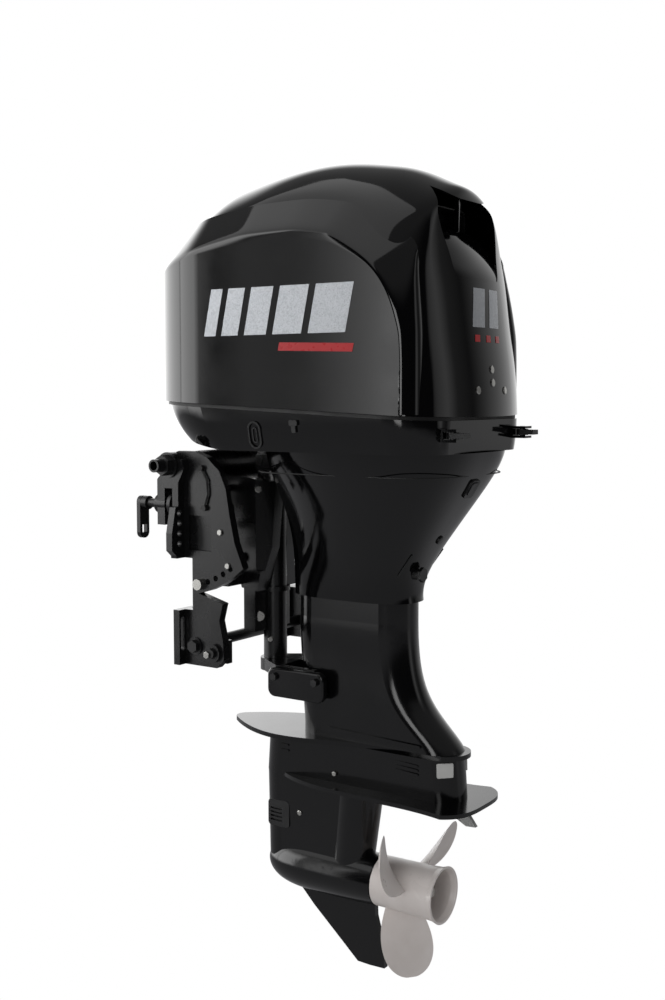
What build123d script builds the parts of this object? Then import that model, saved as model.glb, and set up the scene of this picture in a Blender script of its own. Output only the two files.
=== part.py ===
from build123d import *
import math
import os

# Long-shaft four-stroke outboard motor, in millimetres.
# Frame: origin at the middle of the tilt tube, +X aft, +Y starboard, +Z up.

# Fits and seats
running_gap = 0.05        # radial clearance of a shaft that turns or slides in a bore
seat_gap = 0.3            # air between pieces that move past each other
weld_overlap = 1.0        # how far one feature of a casting runs into the next

# Clamp brackets
tilt_tube_radius = 11.1
tilt_tube_bore_radius = 7.95
tilt_tube_end_y = 216.0
tilt_nut_flats = 31.0
tilt_nut_length = 15.0
tilt_boss_radius = 22.0
bracket_inner_y = 130.0
bracket_outer_y = 182.0
bracket_plate_inner_y = 146.0
bracket_plate_thickness = 16.0
steering_relief = 3.5
flange_outer_y = 195.0
lower_ear_outer_y = 178.0
flange_notch_x = 38.0
flange_notch_top_z = -160.0
flange_notch_bottom_z = -250.0
transom_face_x = 8.0
flange_thickness = 13.0
transom_top_z = -40.0
bracket_bottom_z = -346.0
transom_gap = 44.0
clamp_arm_thickness = 17.0
clamp_arm_inner_y = 116.0
clamp_arm_outer_y = 148.0
clamp_arm_bottom_z = -108.0
clamp_screw_y = 132.0
clamp_screw_z = -72.0
clamp_screw_radius = 8.0
clamp_screw_boss_radius = 17.0
clamp_screw_head_x = -98.0
clamp_pad_radius = 21.0
clamp_pad_thickness = 7.0
clamp_pad_face_x = -21.0
clamp_handle_length = 76.0
clamp_handle_width = 24.0
transom_hole_radius = 5.5
transom_hole_y = 175.0
transom_hole_top_z = -82.0
transom_hole_pitch = 17.5
transom_hole_rows = 4
transom_slot_width = 10.0
transom_slot_length = 59.0
transom_slot_z = -292.0
transom_slot_y = 169.0
trim_hole_arc_radius = 211.0
trim_hole_first_angle = 15.0
trim_hole_step_angle = 5.0
trim_hole_count = 5
trim_rod_radius = 5.0
trim_head_radius = 9.5
tie_bolt_radius = 6.0
tie_bolt_x = 44.0
tie_bolt_z = -312.0
tie_spacer_radius = 10.0
anode_x = 84.0
anode_z = -320.0
anode_bolt_radius = 5.0
bracket_anode_length = 34.0
bracket_anode_thickness = 13.0
earth_lead_radius = 2.0

# Swivel bracket and steering
swivel_x = 95.0
swivel_tube_radius = 21.0
kingpin_radius = 13.0
swivel_bush_wall = 2.5
swivel_top_z = -24.0
swivel_bottom_z = -352.0
swivel_bush_length = 40.0
swivel_housing_half_width = 127.0
swivel_web_half_width = 58.0
swivel_collar_radius = 27.0
swivel_collar_z = -226.0
swivel_lower_web_z = -300.0
steering_head_top_z = 52.0
steering_head_radius = 31.0
steering_arm_length = 152.0
steering_arm_width = 38.0
steering_arm_thickness = 16.0
steering_eye_radius = 5.0
steering_spigot_radius = 19.0
upper_mount_radius = 17.0
upper_mount_y = 34.0
upper_mount_z = 2.0
upper_mount_x = 152.0
upper_mount_front_x = upper_mount_x - 14.0
upper_mount_rear_x = upper_mount_x + 24.0
lower_mount_radius = 12.0
lower_mount_z = -380.0
lower_yoke_thickness = 22.0
lower_cover_front_x = 130.0
lower_cover_length = 118.0
lower_cover_height = 52.0
lower_cover_thickness = 12.0
hook_pivot_ahead = 9.4
hook_pivot_rise = 35.8
hook_pin_radius = 4.0
hook_thickness = 9.0
hook_release_angle = 48.0
support_pivot_x = 34.0
support_pivot_z = -46.0
support_lever_y = -98.0
support_pin_radius = 6.0
support_lever_length = 66.0
support_lever_thickness = 8.0

# Leg
drive_x = 225.0
drive_shaft_radius = 9.0
case_top_z = 20.0
case_front_x = 164.0
case_neck_rear_x = 386.0
case_flare_z = -262.0
case_seam_z = -470.0
case_half_width = 48.0
case_wall = 7.0
apron_seam_z = -8.0
apron_bottom_z = -226.0
apron_wall = 3.5
apron_lug_x = 296.0
apron_lug_z = -200.0
splash_plate_thickness = 8.0
splash_plate_half_width = 76.0
splash_plate_tip_x = 10.0

# Gearcase
prop_axis_z = -720.0
plate_top_z = -549.0
plate_thickness = 7.0
plate_half_width = 90.0
plate_front_x = 104.0
plate_rear_x = 521.0
strut_front_x = 88.0
strut_rear_x = 300.0
torpedo_nose_x = 84.0
torpedo_rear_x = 322.0
torpedo_radius = 46.0
gear_chamber_radius = 40.0
gear_chamber_front_x = 184.0
skeg_bottom_z = -876.0
skeg_thickness = 11.0
tab_height = 34.0
pump_radius = 34.0
pump_height = 34.0
impeller_radius = 24.0
intake_cover_x = 104.0
intake_cover_z = -628.0
intake_cover_length = 46.0
intake_cover_outer_y = 35.5
intake_slot_count = 4
intake_slot_pitch = 7.0

# Running gear
pinion_teeth = 12
gear_teeth = 24
pinion_pitch_radius = 17.0
gear_face_width = 12.0
tooth_addendum = 1.9
tooth_dedendum = 2.6
tooth_backlash = 0.5
gear_hub_radius = 16.0
forward_hub_front_x = 158.0
carrier_front_x = 263.0
carrier_seat_depth = 14.0
prop_shaft_radius = 10.0
prop_shaft_front_x = 162.0
prop_shaft_rear_x = 424.0
dog_radius = 14.5
dog_lug_count = 8
dog_lug_height = 2.5
dog_neutral_gap = 1.5
propeller_front_x = 324.0
propeller_rear_x = 446.0
propeller_hub_radius = 44.0
propeller_ring_radius = 48.5
propeller_hub_wall = 4.0
propeller_core_radius = 22.0
propeller_radius = 150.0
propeller_pitch = 330.0
blade_rake = 24.0
blade_count = 3
blade_clock_angle = 170.0
blade_thickness = 7.0
prop_nut_flats = 30.0
prop_nut_length = 15.0

# Engine under the cowl
flywheel_radius = 104.0
flywheel_thickness = 26.0
flywheel_bottom_z = 372.0
block_bottom_z = 96.0
block_top_z = 340.0
block_half_width = 88.0
block_front_x = 128.0
block_rear_x = 330.0
head_length = 66.0
head_half_width = 78.0
head_cover_length = 36.0
cam_x = 363.0
cam_shaft_radius = 10.0
crank_pulley_radius = 27.0
belt_thickness = 4.0
belt_width = 20.0
belt_bottom_z = 347.0

# Cowl and tray
cowl_front_x = -75.0
cowl_rear_x = 513.0
parting_front_z = 112.0
parting_rear_z = 86.0
cowl_half_width = 190.0
cowl_front_corner = 150.0
cowl_rear_corner = 90.0
canopy_step = 4.5
cowl_wall = 4.0
cowl_lift = 470.0
seal_height = 6.0
tray_bottom_z = 28.0
tray_wall = 5.0
intake_lip_z = 416.0
intake_sill_z = 368.0
intake_top_half_width = 24.0
intake_sill_half_width = 46.0
intake_depth = 62.0
intake_bar_y = 14.0
intake_bar_thickness = 4.0
latch_y = 120.0
latch_pivot_radius = 5.0


def slab_x(outline, low, high):
    """Solid with its outline in Y and Z, between two X values."""
    face = make_face(Polyline(*[(low, y, z) for y, z in outline], close=True))
    return extrude(face, amount=high - low, dir=(1, 0, 0))


def slab_y(outline, low, high):
    """Solid with its outline in X and Z, between two Y values."""
    face = make_face(Polyline(*[(x, low, z) for x, z in outline], close=True))
    return extrude(face, amount=high - low, dir=(0, 1, 0))


def slab_z(outline, low, high):
    """Solid with its outline in X and Y, between two heights."""
    face = make_face(Polyline(*[(x, y, low) for x, y in outline], close=True))
    return extrude(face, amount=high - low, dir=(0, 0, 1))


def block(x_low, x_high, y_low, y_high, z_low, z_high):
    """Box between two corners."""
    size = (x_high - x_low, y_high - y_low, z_high - z_low)
    middle = ((x_low + x_high) / 2, (y_low + y_high) / 2, (z_low + z_high) / 2)
    return Pos(*middle) * Box(*size)


def rod(start, end, radius):
    """Round bar from one point to another."""
    line = Vector(*end) - Vector(*start)
    return Solid.make_cylinder(radius, line.length, Plane(origin=start, z_dir=line))


def pipe(start, end, outer, inner):
    """Round tube from one point to another."""
    return rod(start, end, outer) - rod(start, end, inner)


def hex_bar(start, end, flats):
    """Hexagonal bar from one point to another."""
    line = Vector(*end) - Vector(*start)
    section = Plane(origin=start, z_dir=line) * RegularPolygon(flats / 2, 6, major_radius=False)
    return extrude(section, amount=line.length, dir=line)


def mirrored(shape):
    """Same piece on the other side of the middle plane."""
    return shape.mirror(Plane.XZ)


def both_sides(shape):
    """Piece and its mirror image, as a group."""
    return Compound(children=[shape, mirrored(shape)])


def stadium(front_x, rear_x, half_width, front_round, rear_round, height):
    """Long rounded outline: straight sides and a bowed front and rear."""
    port_front = (front_x + front_round, -half_width, height)
    port_rear = (rear_x - rear_round, -half_width, height)
    star_rear = (rear_x - rear_round, half_width, height)
    star_front = (front_x + front_round, half_width, height)
    edges = [
        Line(port_front, port_rear),
        ThreePointArc(port_rear, (rear_x, 0, height), star_rear),
        Line(star_rear, star_front),
        ThreePointArc(star_front, (front_x, 0, height), port_front),
    ]
    return make_face(edges)


def egg(front_x, rear_x, half_width, nose_half, height):
    """Rounded outline with a narrower front and a broad rear."""
    broad_x = front_x + 0.60 * (rear_x - front_x)
    nose_x = front_x + 0.25 * nose_half
    port = (broad_x, -half_width, height)
    star = (broad_x, half_width, height)
    port_nose = (nose_x, -nose_half, height)
    star_nose = (nose_x, nose_half, height)
    edges = [
        ThreePointArc(star_nose, (front_x, 0, height), port_nose),
        Spline(port_nose, port, tangents=[(0.80, -0.60, 0), (1, 0, 0)]),
        Spline(port, (rear_x, 0, height), star, tangents=[(1, 0, 0), (-1, 0, 0)]),
        Spline(star, star_nose, tangents=[(-1, 0, 0), (-0.80, -0.60, 0)]),
    ]
    return make_face(edges)


def rounded_plan(front_x, rear_x, half_width, front_corner, rear_corner, height):
    """Rectangle in plan with large front corners and small rear corners."""
    plan = Pos((front_x + rear_x) / 2, 0, height) * Rectangle(rear_x - front_x, 2 * half_width)
    plan = fillet(plan.vertices().group_by(Axis.X)[0], front_corner)
    return fillet(plan.vertices().group_by(Axis.X)[-1], rear_corner)


# ---------------------------------------------------------------- clamp brackets

flange_back_x = transom_face_x + flange_thickness
arm_back_x = transom_face_x - transom_gap
arm_front_x = arm_back_x - clamp_arm_thickness
plate_outer_y = bracket_plate_inner_y + bracket_plate_thickness


def trim_hole(index):
    """X and Z of one trim hole on its arc about the tilt axis."""
    angle = math.radians(trim_hole_first_angle + index * trim_hole_step_angle)
    return trim_hole_arc_radius * math.sin(angle), -trim_hole_arc_radius * math.cos(angle)


trim_x, trim_z = trim_hole(0)


def sector_point(angle, margin):
    """Point on an arc about the tilt axis, outside the trim holes."""
    turn = math.radians(angle)
    radius = trim_hole_arc_radius + margin
    return radius * math.sin(turn), -radius * math.cos(turn)


def clamp_bracket():
    """Starboard clamp bracket: J-shaped clamp, side plate, transom flange and bosses."""
    last_angle = trim_hole_first_angle + (trim_hole_count - 1) * trim_hole_step_angle
    sector = [sector_point(a, 15) for a in (last_angle + 6, last_angle, last_angle - 7, 20, 13)]
    plate = slab_y(
        [(-14, 16), (10, 24), (44, 24), (72, 14), (98, -8), (112, -38), (120, -84), (130, -128)]
        + sector
        + [(104, -234), (96, -264), (104, -298), (106, -330), (90, bracket_bottom_z)]
        + [(transom_face_x + 1, bracket_bottom_z), (transom_face_x + 1, transom_top_z + 2), (-14, transom_top_z + 2)],
        bracket_plate_inner_y, plate_outer_y)
    clamp = slab_y(
        [(-16, transom_top_z), (transom_face_x, transom_top_z), (transom_face_x, bracket_bottom_z)]
        + [(flange_back_x, bracket_bottom_z), (flange_back_x, -30), (34, -6), (30, 10), (4, 11), (-16, 4)],
        bracket_inner_y, bracket_outer_y - 4)
    arm_top = [(arm_back_x, transom_top_z), (-24, transom_top_z + 1), (-24, 0), (-30, -4), (arm_front_x, -28)]
    arm = slab_y([(arm_front_x, clamp_arm_bottom_z), (arm_back_x, clamp_arm_bottom_z)] + arm_top,
                 clamp_arm_inner_y, clamp_arm_outer_y)
    bridge = slab_y([(-25, transom_top_z), (-14, transom_top_z), (-14, 5), (-25, 0)], bracket_inner_y, clamp_arm_outer_y)
    lightening = block(flange_back_x + 10, 80, plate_outer_y - 6, bracket_outer_y, -146, -86)
    ear = slab_x(
        [(plate_outer_y - weld_overlap, -66), (flange_outer_y - 10, -72), (flange_outer_y, -116), (flange_outer_y, -146)]
        + [(flange_outer_y - 12, -156), (lower_ear_outer_y - 6, -258), (lower_ear_outer_y, -266)]
        + [(lower_ear_outer_y, -332), (plate_outer_y - weld_overlap, -342)],
        transom_face_x, flange_back_x)
    body = plate + clamp + arm
    body += bridge
    body += ear
    body -= block(transom_face_x - 1, flange_notch_x, bracket_inner_y - 1, flange_outer_y + 1,
                  flange_notch_bottom_z, flange_notch_top_z)
    body += rod((0, bracket_inner_y, 0), (0, bracket_outer_y, 0), tilt_boss_radius)
    body += rod((arm_front_x - 8, clamp_screw_y, clamp_screw_z), (arm_back_x, clamp_screw_y, clamp_screw_z), clamp_screw_boss_radius)
    body += rod((anode_x, bracket_plate_inner_y, anode_z), (anode_x, plate_outer_y + 6, anode_z), 16)
    body += rod((tie_bolt_x, bracket_plate_inner_y, tie_bolt_z), (tie_bolt_x, plate_outer_y + 3, tie_bolt_z), 15)
    body -= lightening
    body -= block(84, 140, bracket_plate_inner_y - 1, bracket_plate_inner_y + steering_relief, -64, 20)
    body -= rod((0, bracket_inner_y - 1, 0), (0, bracket_outer_y + 1, 0), tilt_tube_radius + running_gap)
    body -= rod((arm_front_x - 9, clamp_screw_y, clamp_screw_z), (arm_back_x + 1, clamp_screw_y, clamp_screw_z), clamp_screw_radius + running_gap)
    body -= rod((anode_x, bracket_plate_inner_y - 1, anode_z), (anode_x, plate_outer_y + 7, anode_z), anode_bolt_radius + running_gap)
    body -= rod((tie_bolt_x, bracket_plate_inner_y - 1, tie_bolt_z), (tie_bolt_x, plate_outer_y + 4, tie_bolt_z), tie_bolt_radius + running_gap)
    for index in range(trim_hole_count):
        hole_x, hole_z = trim_hole(index)
        body -= rod((hole_x, bracket_plate_inner_y - 1, hole_z), (hole_x, plate_outer_y + 1, hole_z), trim_rod_radius + running_gap)
    for row in range(transom_hole_rows):
        hole_z = transom_hole_top_z - row * transom_hole_pitch
        body -= rod((transom_face_x - 1, transom_hole_y, hole_z), (flange_back_x + 1, transom_hole_y, hole_z), transom_hole_radius)
    slot_reach = (transom_slot_length - transom_slot_width) / 2
    for end in (-1, 1):
        end_z = transom_slot_z + end * slot_reach
        body -= rod((transom_face_x - 1, transom_slot_y, end_z), (flange_back_x + 1, transom_slot_y, end_z), transom_slot_width / 2)
    body -= block(transom_face_x - 1, flange_back_x + 1, transom_slot_y - transom_slot_width / 2,
                  transom_slot_y + transom_slot_width / 2, transom_slot_z - slot_reach, transom_slot_z + slot_reach)
    return body


bracket = clamp_bracket()
tilt_tube = pipe((0, -tilt_tube_end_y, 0), (0, tilt_tube_end_y, 0), tilt_tube_radius, tilt_tube_bore_radius)
tilt_nut = hex_bar((0, bracket_outer_y, 0), (0, bracket_outer_y + tilt_nut_length, 0), tilt_nut_flats)
tilt_nut -= rod((0, bracket_outer_y - 1, 0), (0, tilt_tube_end_y, 0), tilt_tube_radius)
tilt_nut = tilt_nut.solid()

tie_bolt = rod((tie_bolt_x, -plate_outer_y - 4, tie_bolt_z), (tie_bolt_x, plate_outer_y + 12, tie_bolt_z), tie_bolt_radius)
tie_bolt += hex_bar((tie_bolt_x, -plate_outer_y - 11, tie_bolt_z), (tie_bolt_x, -plate_outer_y - 3, tie_bolt_z), 19)
tie_nut = hex_bar((tie_bolt_x, plate_outer_y + 3, tie_bolt_z), (tie_bolt_x, plate_outer_y + 10, tie_bolt_z), 19)
tie_nut -= rod((tie_bolt_x, plate_outer_y, tie_bolt_z), (tie_bolt_x, plate_outer_y + 13, tie_bolt_z), tie_bolt_radius)
tie_spacer = pipe((tie_bolt_x, -bracket_plate_inner_y, tie_bolt_z), (tie_bolt_x, bracket_plate_inner_y, tie_bolt_z),
                  tie_spacer_radius, tie_bolt_radius + running_gap)

trim_rod = rod((trim_x, -plate_outer_y - 4, trim_z), (trim_x, plate_outer_y + 10, trim_z), trim_rod_radius)
trim_rod += rod((trim_x, -plate_outer_y - 9, trim_z), (trim_x, -plate_outer_y, trim_z), trim_head_radius)
trim_rod += rod((trim_x, plate_outer_y, trim_z), (trim_x, plate_outer_y + 3, trim_z), trim_head_radius)


def bracket_anode():
    """Zinc block on the inner face of a bracket, with its bolt in two nodes."""
    half = bracket_anode_length / 2
    low_y = bracket_plate_inner_y - bracket_anode_thickness
    zinc = block(anode_x - half, anode_x + half, low_y, bracket_plate_inner_y, anode_z - 20, anode_z + 20)
    zinc -= rod((anode_x, low_y - 1, anode_z), (anode_x, plate_outer_y, anode_z), anode_bolt_radius + running_gap)
    bolt = rod((anode_x, low_y - 2, anode_z), (anode_x, plate_outer_y + 8, anode_z), anode_bolt_radius)
    bolt += hex_bar((anode_x, plate_outer_y + 6, anode_z), (anode_x, plate_outer_y + 12, anode_z), 16)
    bolt += hex_bar((anode_x, low_y - 7, anode_z), (anode_x, low_y, anode_z), 16)
    return zinc, bolt


anode_block, anode_bolt = bracket_anode()


def earth_lead():
    """Short earth wire clipped to the port bracket between two ring terminals."""
    wire_y = -plate_outer_y - 3.5
    route = [(62, wire_y, -4), (74, wire_y, -24), (76, wire_y, -48), (68, wire_y, -72)]
    radii = [14, 16]
    path = FilletPolyline(*route, radius=radii)
    start = Plane(origin=route[0], z_dir=Vector(*route[1]) - Vector(*route[0]))
    wire = sweep(start * Circle(earth_lead_radius), path=path)
    print("earth lead radii", radii, "volume", wire.volume, "area x length", math.pi * earth_lead_radius ** 2 * path.length)
    for end in (route[0], route[-1]):
        wire += rod((end[0], -plate_outer_y, end[2]), (end[0], wire_y - 3, end[2]), 5)
    return wire


# ---------------------------------------------------------------- clamp screws

pad_back_x = clamp_pad_face_x - clamp_pad_thickness
screw_tip_x = pad_back_x + 2.0


def clamp_screw():
    """Starboard clamp screw with its hanging lever handle."""
    axis_y, axis_z = clamp_screw_y, clamp_screw_z
    screw = rod((clamp_screw_head_x - 3, axis_y, axis_z), (screw_tip_x, axis_y, axis_z), clamp_screw_radius)
    screw += rod((clamp_screw_head_x - 4, axis_y, axis_z), (clamp_screw_head_x + 12, axis_y, axis_z), 12)
    handle = Pos(clamp_screw_head_x - 4, axis_y, axis_z + 12 - clamp_handle_length / 2) * Box(8, clamp_handle_width, clamp_handle_length)
    handle = fillet(handle.edges().filter_by(Axis.X), clamp_handle_width / 2 - 1)
    eye_z = axis_z + 12 - clamp_handle_length + 17
    handle -= block(clamp_screw_head_x - 20, clamp_screw_head_x + 10, axis_y - 6, axis_y + 6, eye_z - 7, eye_z + 7)
    return screw + handle


def clamp_pad():
    """Starboard clamp pad, a swivelling disc on the screw tip."""
    axis_y, axis_z = clamp_screw_y, clamp_screw_z
    pad = rod((pad_back_x, axis_y, axis_z), (clamp_pad_face_x, axis_y, axis_z), clamp_pad_radius)
    pad += rod((pad_back_x - 5, axis_y, axis_z), (pad_back_x + 1, axis_y, axis_z), clamp_screw_radius + 4)
    pad -= rod((pad_back_x - 6, axis_y, axis_z), (screw_tip_x + seat_gap, axis_y, axis_z), clamp_screw_radius + running_gap)
    return pad


# ---------------------------------------------------------------- swivel bracket

bush_outer = kingpin_radius + swivel_bush_wall
tube_bush_outer = tilt_tube_radius + swivel_bush_wall
rod_rear_x = trim_x + trim_rod_radius + seat_gap
web_wall = 12.0
hook_inner_y = swivel_web_half_width + seat_gap
hook_outer_y = hook_inner_y + hook_thickness
hook_pivot_x = trim_x + hook_pivot_ahead
hook_pivot_z = trim_z + hook_pivot_rise


def swivel_bracket():
    """Swivel casting: cross housing on the tilt tube, webs, vertical tube and thrust pads."""
    body = rod((0, -swivel_housing_half_width, 0), (0, swivel_housing_half_width, 0), tilt_boss_radius)
    web = [(-12, -16), (18, -20), (swivel_x - 8, -26), (swivel_x + 22, -34), (swivel_x + 18, -150)]
    web += [(swivel_x + 4, swivel_collar_z), (rod_rear_x + 4, swivel_collar_z + 4), (rod_rear_x, trim_z - 6)]
    web += [(rod_rear_x, trim_z + 10), (trim_x - 3, trim_z + 22), (trim_x - 5, trim_z + 44)]
    web += [(trim_x - 19, trim_z + 84), (4, -60)]
    body += slab_y(web, -swivel_web_half_width, swivel_web_half_width)
    body -= slab_y([(24, -34), (swivel_x - 30, -40), (swivel_x - 32, trim_z + 28), (trim_x - 7, trim_z + 86)],
                   web_wall - swivel_web_half_width, swivel_web_half_width - web_wall)
    pad_top = trim_z + 12
    body += slab_x([(-106, trim_z - 10), (106, trim_z - 10), (106, pad_top), (52, pad_top), (52, trim_z + 44),
                    (-52, trim_z + 44), (-52, pad_top), (-106, pad_top)],
                   rod_rear_x, rod_rear_x + 12)
    lower_half = swivel_web_half_width - 6
    body += slab_z([(rod_rear_x + 4, -lower_half), (swivel_x - 6, -lower_half), (swivel_x, -swivel_tube_radius + 1)]
                   + [(swivel_x, swivel_tube_radius - 1), (swivel_x - 6, lower_half), (rod_rear_x + 4, lower_half)],
                   swivel_lower_web_z, trim_z)
    for side in (-1, 1):
        corner = [(swivel_x, side * (swivel_web_half_width + 1)), (swivel_x + 40, side * (swivel_web_half_width + 1)),
                  (swivel_x + 40, side * 8), (swivel_x + 23, side * 26)]
        body -= slab_z(corner, -190, swivel_top_z + 10)
    body += rod((swivel_x, 0, swivel_bottom_z), (swivel_x, 0, swivel_top_z), swivel_tube_radius)
    body += rod((swivel_x, 0, swivel_collar_z - 4), (swivel_x, 0, swivel_collar_z + 4), swivel_collar_radius)
    body += rod((swivel_x, 0, swivel_top_z - 22), (swivel_x, 0, swivel_top_z), swivel_collar_radius)
    body -= rod((0, -swivel_housing_half_width - 1, 0), (0, swivel_housing_half_width + 1, 0), tube_bush_outer)
    body -= rod((swivel_x, 0, swivel_bottom_z - 1), (swivel_x, 0, swivel_top_z + 1), bush_outer)
    body -= rod((hook_pivot_x, -swivel_web_half_width - 1, hook_pivot_z), (hook_pivot_x, swivel_web_half_width + 1, hook_pivot_z),
                hook_pin_radius + running_gap)
    body -= rod((support_pivot_x, -swivel_web_half_width - 1, support_pivot_z),
                (support_pivot_x, web_wall - swivel_web_half_width, support_pivot_z), support_pin_radius + running_gap)
    return body


def swivel_bushes():
    """Two flanged-end bushes on the tilt tube and two on the kingpin."""
    reach = swivel_housing_half_width
    pieces = []
    for side in (-1, 1):
        pieces.append(pipe((0, side * (reach - swivel_bush_length), 0), (0, side * reach, 0),
                           tube_bush_outer, tilt_tube_radius + running_gap))
    for end_z, inward in ((swivel_top_z, -1), (swivel_bottom_z, 1)):
        pieces.append(pipe((swivel_x, 0, end_z), (swivel_x, 0, end_z + inward * swivel_bush_length),
                           bush_outer, kingpin_radius + running_gap))
    return Compound(children=pieces)


def polar_from_hook_pivot(angle, radius):
    """Point at an angle from straight down, forward positive, about the hook pivot."""
    turn = math.radians(angle)
    return hook_pivot_x - radius * math.sin(turn), hook_pivot_z - radius * math.cos(turn)


def reverse_lock_hooks():
    """Pair of hooks on one shaft, shown swung forward, clear of the trim rod."""
    down = math.hypot(trim_x - hook_pivot_x, trim_z - hook_pivot_z)
    lean = math.degrees(math.atan2(hook_pivot_x - trim_x, hook_pivot_z - trim_z))
    inner = down + trim_rod_radius + seat_gap + 0.3
    outer = inner + 7.0
    half_rod = math.degrees((trim_rod_radius + seat_gap + 0.7) / down)
    start = lean - 8.0 + hook_release_angle
    arm_angle = lean + half_rod + hook_release_angle
    claw = [polar_from_hook_pivot(start + step * (arm_angle + 14 - start) / 6, outer) for step in range(7)]
    arm = [polar_from_hook_pivot(arm_angle + 18, 8), polar_from_hook_pivot(arm_angle - 30, 4)]
    lip = [polar_from_hook_pivot(arm_angle, inner)]
    lip += [polar_from_hook_pivot(arm_angle + (start - arm_angle) * step / 3, inner) for step in (1, 2, 3)]
    hook = slab_y(claw + arm + lip, hook_inner_y, hook_outer_y)
    hook += rod((hook_pivot_x, hook_inner_y, hook_pivot_z), (hook_pivot_x, hook_outer_y, hook_pivot_z), 9)
    shaft = rod((hook_pivot_x, -hook_outer_y - 3, hook_pivot_z), (hook_pivot_x, hook_outer_y + 3, hook_pivot_z), hook_pin_radius)
    return shaft + hook + mirrored(hook)


def tilt_support_lever():
    """Lever on the port side that holds the motor tilted up when swung forward."""
    outer_y = support_lever_y - support_lever_thickness
    lever = rod((support_pivot_x, web_wall - swivel_web_half_width - 2, support_pivot_z), (support_pivot_x, outer_y - 3, support_pivot_z),
                support_pin_radius)
    lever += rod((support_pivot_x, support_lever_y, support_pivot_z), (support_pivot_x, outer_y, support_pivot_z), 13)
    end_z = support_pivot_z - support_lever_length
    lever += slab_y([(support_pivot_x - 12, support_pivot_z), (support_pivot_x + 12, support_pivot_z),
                     (support_pivot_x + 6, end_z), (support_pivot_x - 6, end_z)], outer_y, support_lever_y)
    lever += rod((support_pivot_x, outer_y - 3, end_z), (support_pivot_x, support_lever_y + 9, end_z), 9)
    return lever


# ---------------------------------------------------------------- steering head and mounts

head_bottom_z = swivel_top_z + seat_gap
yoke_top_z = swivel_bottom_z - seat_gap
yoke_bottom_z = yoke_top_z - lower_yoke_thickness
cover_inner_y = case_half_width + 12.0
arm_bottom_z = steering_head_top_z - steering_arm_thickness


def steering_head():
    """Kingpin, steering head with its forward arm, and the yoke that carries the upper mounts."""
    body = rod((swivel_x, 0, yoke_bottom_z - 14), (swivel_x, 0, head_bottom_z + 1), kingpin_radius)
    body += rod((swivel_x, 0, head_bottom_z), (swivel_x, 0, arm_bottom_z), steering_head_radius)
    body += rod((swivel_x, 0, arm_bottom_z - 1), (swivel_x, 0, steering_head_top_z - 3), steering_spigot_radius)
    yoke_outer = upper_mount_y + upper_mount_radius + 5
    body += block(swivel_x, upper_mount_x - 14, -yoke_outer, yoke_outer, upper_mount_z - 14, upper_mount_z + 14)
    for side in (-1, 1):
        centre_y = side * upper_mount_y
        body += rod((upper_mount_x - 16, centre_y, upper_mount_z), (upper_mount_x + 24, centre_y, upper_mount_z), 7)
    return body


def steering_arm():
    """Forged arm seated on the steering head's spigot, with the eye for the drag link at its tip."""
    tip_x = swivel_x - steering_arm_length
    root_half, tip_half = steering_head_radius - 2, steering_arm_width / 2
    arm = slab_z([(swivel_x, -root_half), (swivel_x, root_half), (tip_x, tip_half), (tip_x, -tip_half)],
                 arm_bottom_z, steering_head_top_z)
    arm += rod((tip_x, 0, arm_bottom_z), (tip_x, 0, steering_head_top_z), tip_half)
    arm += rod((swivel_x, 0, arm_bottom_z), (swivel_x, 0, steering_head_top_z), steering_head_radius)
    arm -= rod((tip_x, 0, arm_bottom_z - 1), (tip_x, 0, steering_head_top_z + 1), steering_eye_radius)
    return arm - rod((swivel_x, 0, arm_bottom_z - 1), (swivel_x, 0, steering_head_top_z - 3), steering_spigot_radius)


def upper_mounts():
    """Two rubber sleeves round the steering head's studs."""
    pieces = []
    for side in (-1, 1):
        centre_y = side * upper_mount_y
        pieces.append(pipe((upper_mount_x - 14, centre_y, upper_mount_z), (upper_mount_x + 24, centre_y, upper_mount_z),
                           upper_mount_radius, 7))
    return Compound(children=pieces)


def lower_yoke():
    """Lower yoke on the kingpin with arms along both sides of the leg."""
    arm_inner = case_half_width + 2.0
    body = rod((swivel_x, 0, yoke_bottom_z), (swivel_x, 0, yoke_top_z), 27)
    body += slab_z([(swivel_x - 6, -26), (swivel_x + 44, -cover_inner_y), (swivel_x + 54, -cover_inner_y), (swivel_x + 54, cover_inner_y),
                    (swivel_x + 44, cover_inner_y), (swivel_x - 6, 26)], yoke_bottom_z, yoke_top_z)
    for side in (-1, 1):
        low, high = sorted((side * arm_inner, side * cover_inner_y))
        body += block(swivel_x + 44, lower_cover_front_x + 92, low, high, lower_mount_z - 14, yoke_top_z)
        body += rod((lower_cover_front_x + 78, side * (case_half_width - 4), lower_mount_z), (lower_cover_front_x + 78, side * arm_inner, lower_mount_z), 6)
    body -= rod((swivel_x, 0, yoke_bottom_z - 1), (swivel_x, 0, yoke_top_z + 1), kingpin_radius)
    return body


def lower_mounts():
    """Rubber bushes let into the sides of the leg, round the yoke's pins."""
    x = lower_cover_front_x + 78
    pieces = []
    for side in (-1, 1):
        pieces.append(pipe((x, side * (case_half_width - 10), lower_mount_z), (x, side * (case_half_width + 1.5), lower_mount_z),
                           lower_mount_radius, 6))
    return Compound(children=pieces)


def lower_mount_cover():
    """Starboard cover over the lower mount, a rounded plate with a raised rim."""
    middle_x = lower_cover_front_x + lower_cover_length / 2
    outer_y = cover_inner_y + lower_cover_thickness
    cover = Pos(middle_x, (cover_inner_y + outer_y) / 2, lower_mount_z) * Box(lower_cover_length, lower_cover_thickness, lower_cover_height)
    cover = fillet(cover.edges().filter_by(Axis.Y), 14)
    face_edges = cover.faces().sort_by(Axis.Y)[-1].edges()
    return fillet(face_edges, 4)


# ---------------------------------------------------------------- leg

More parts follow.
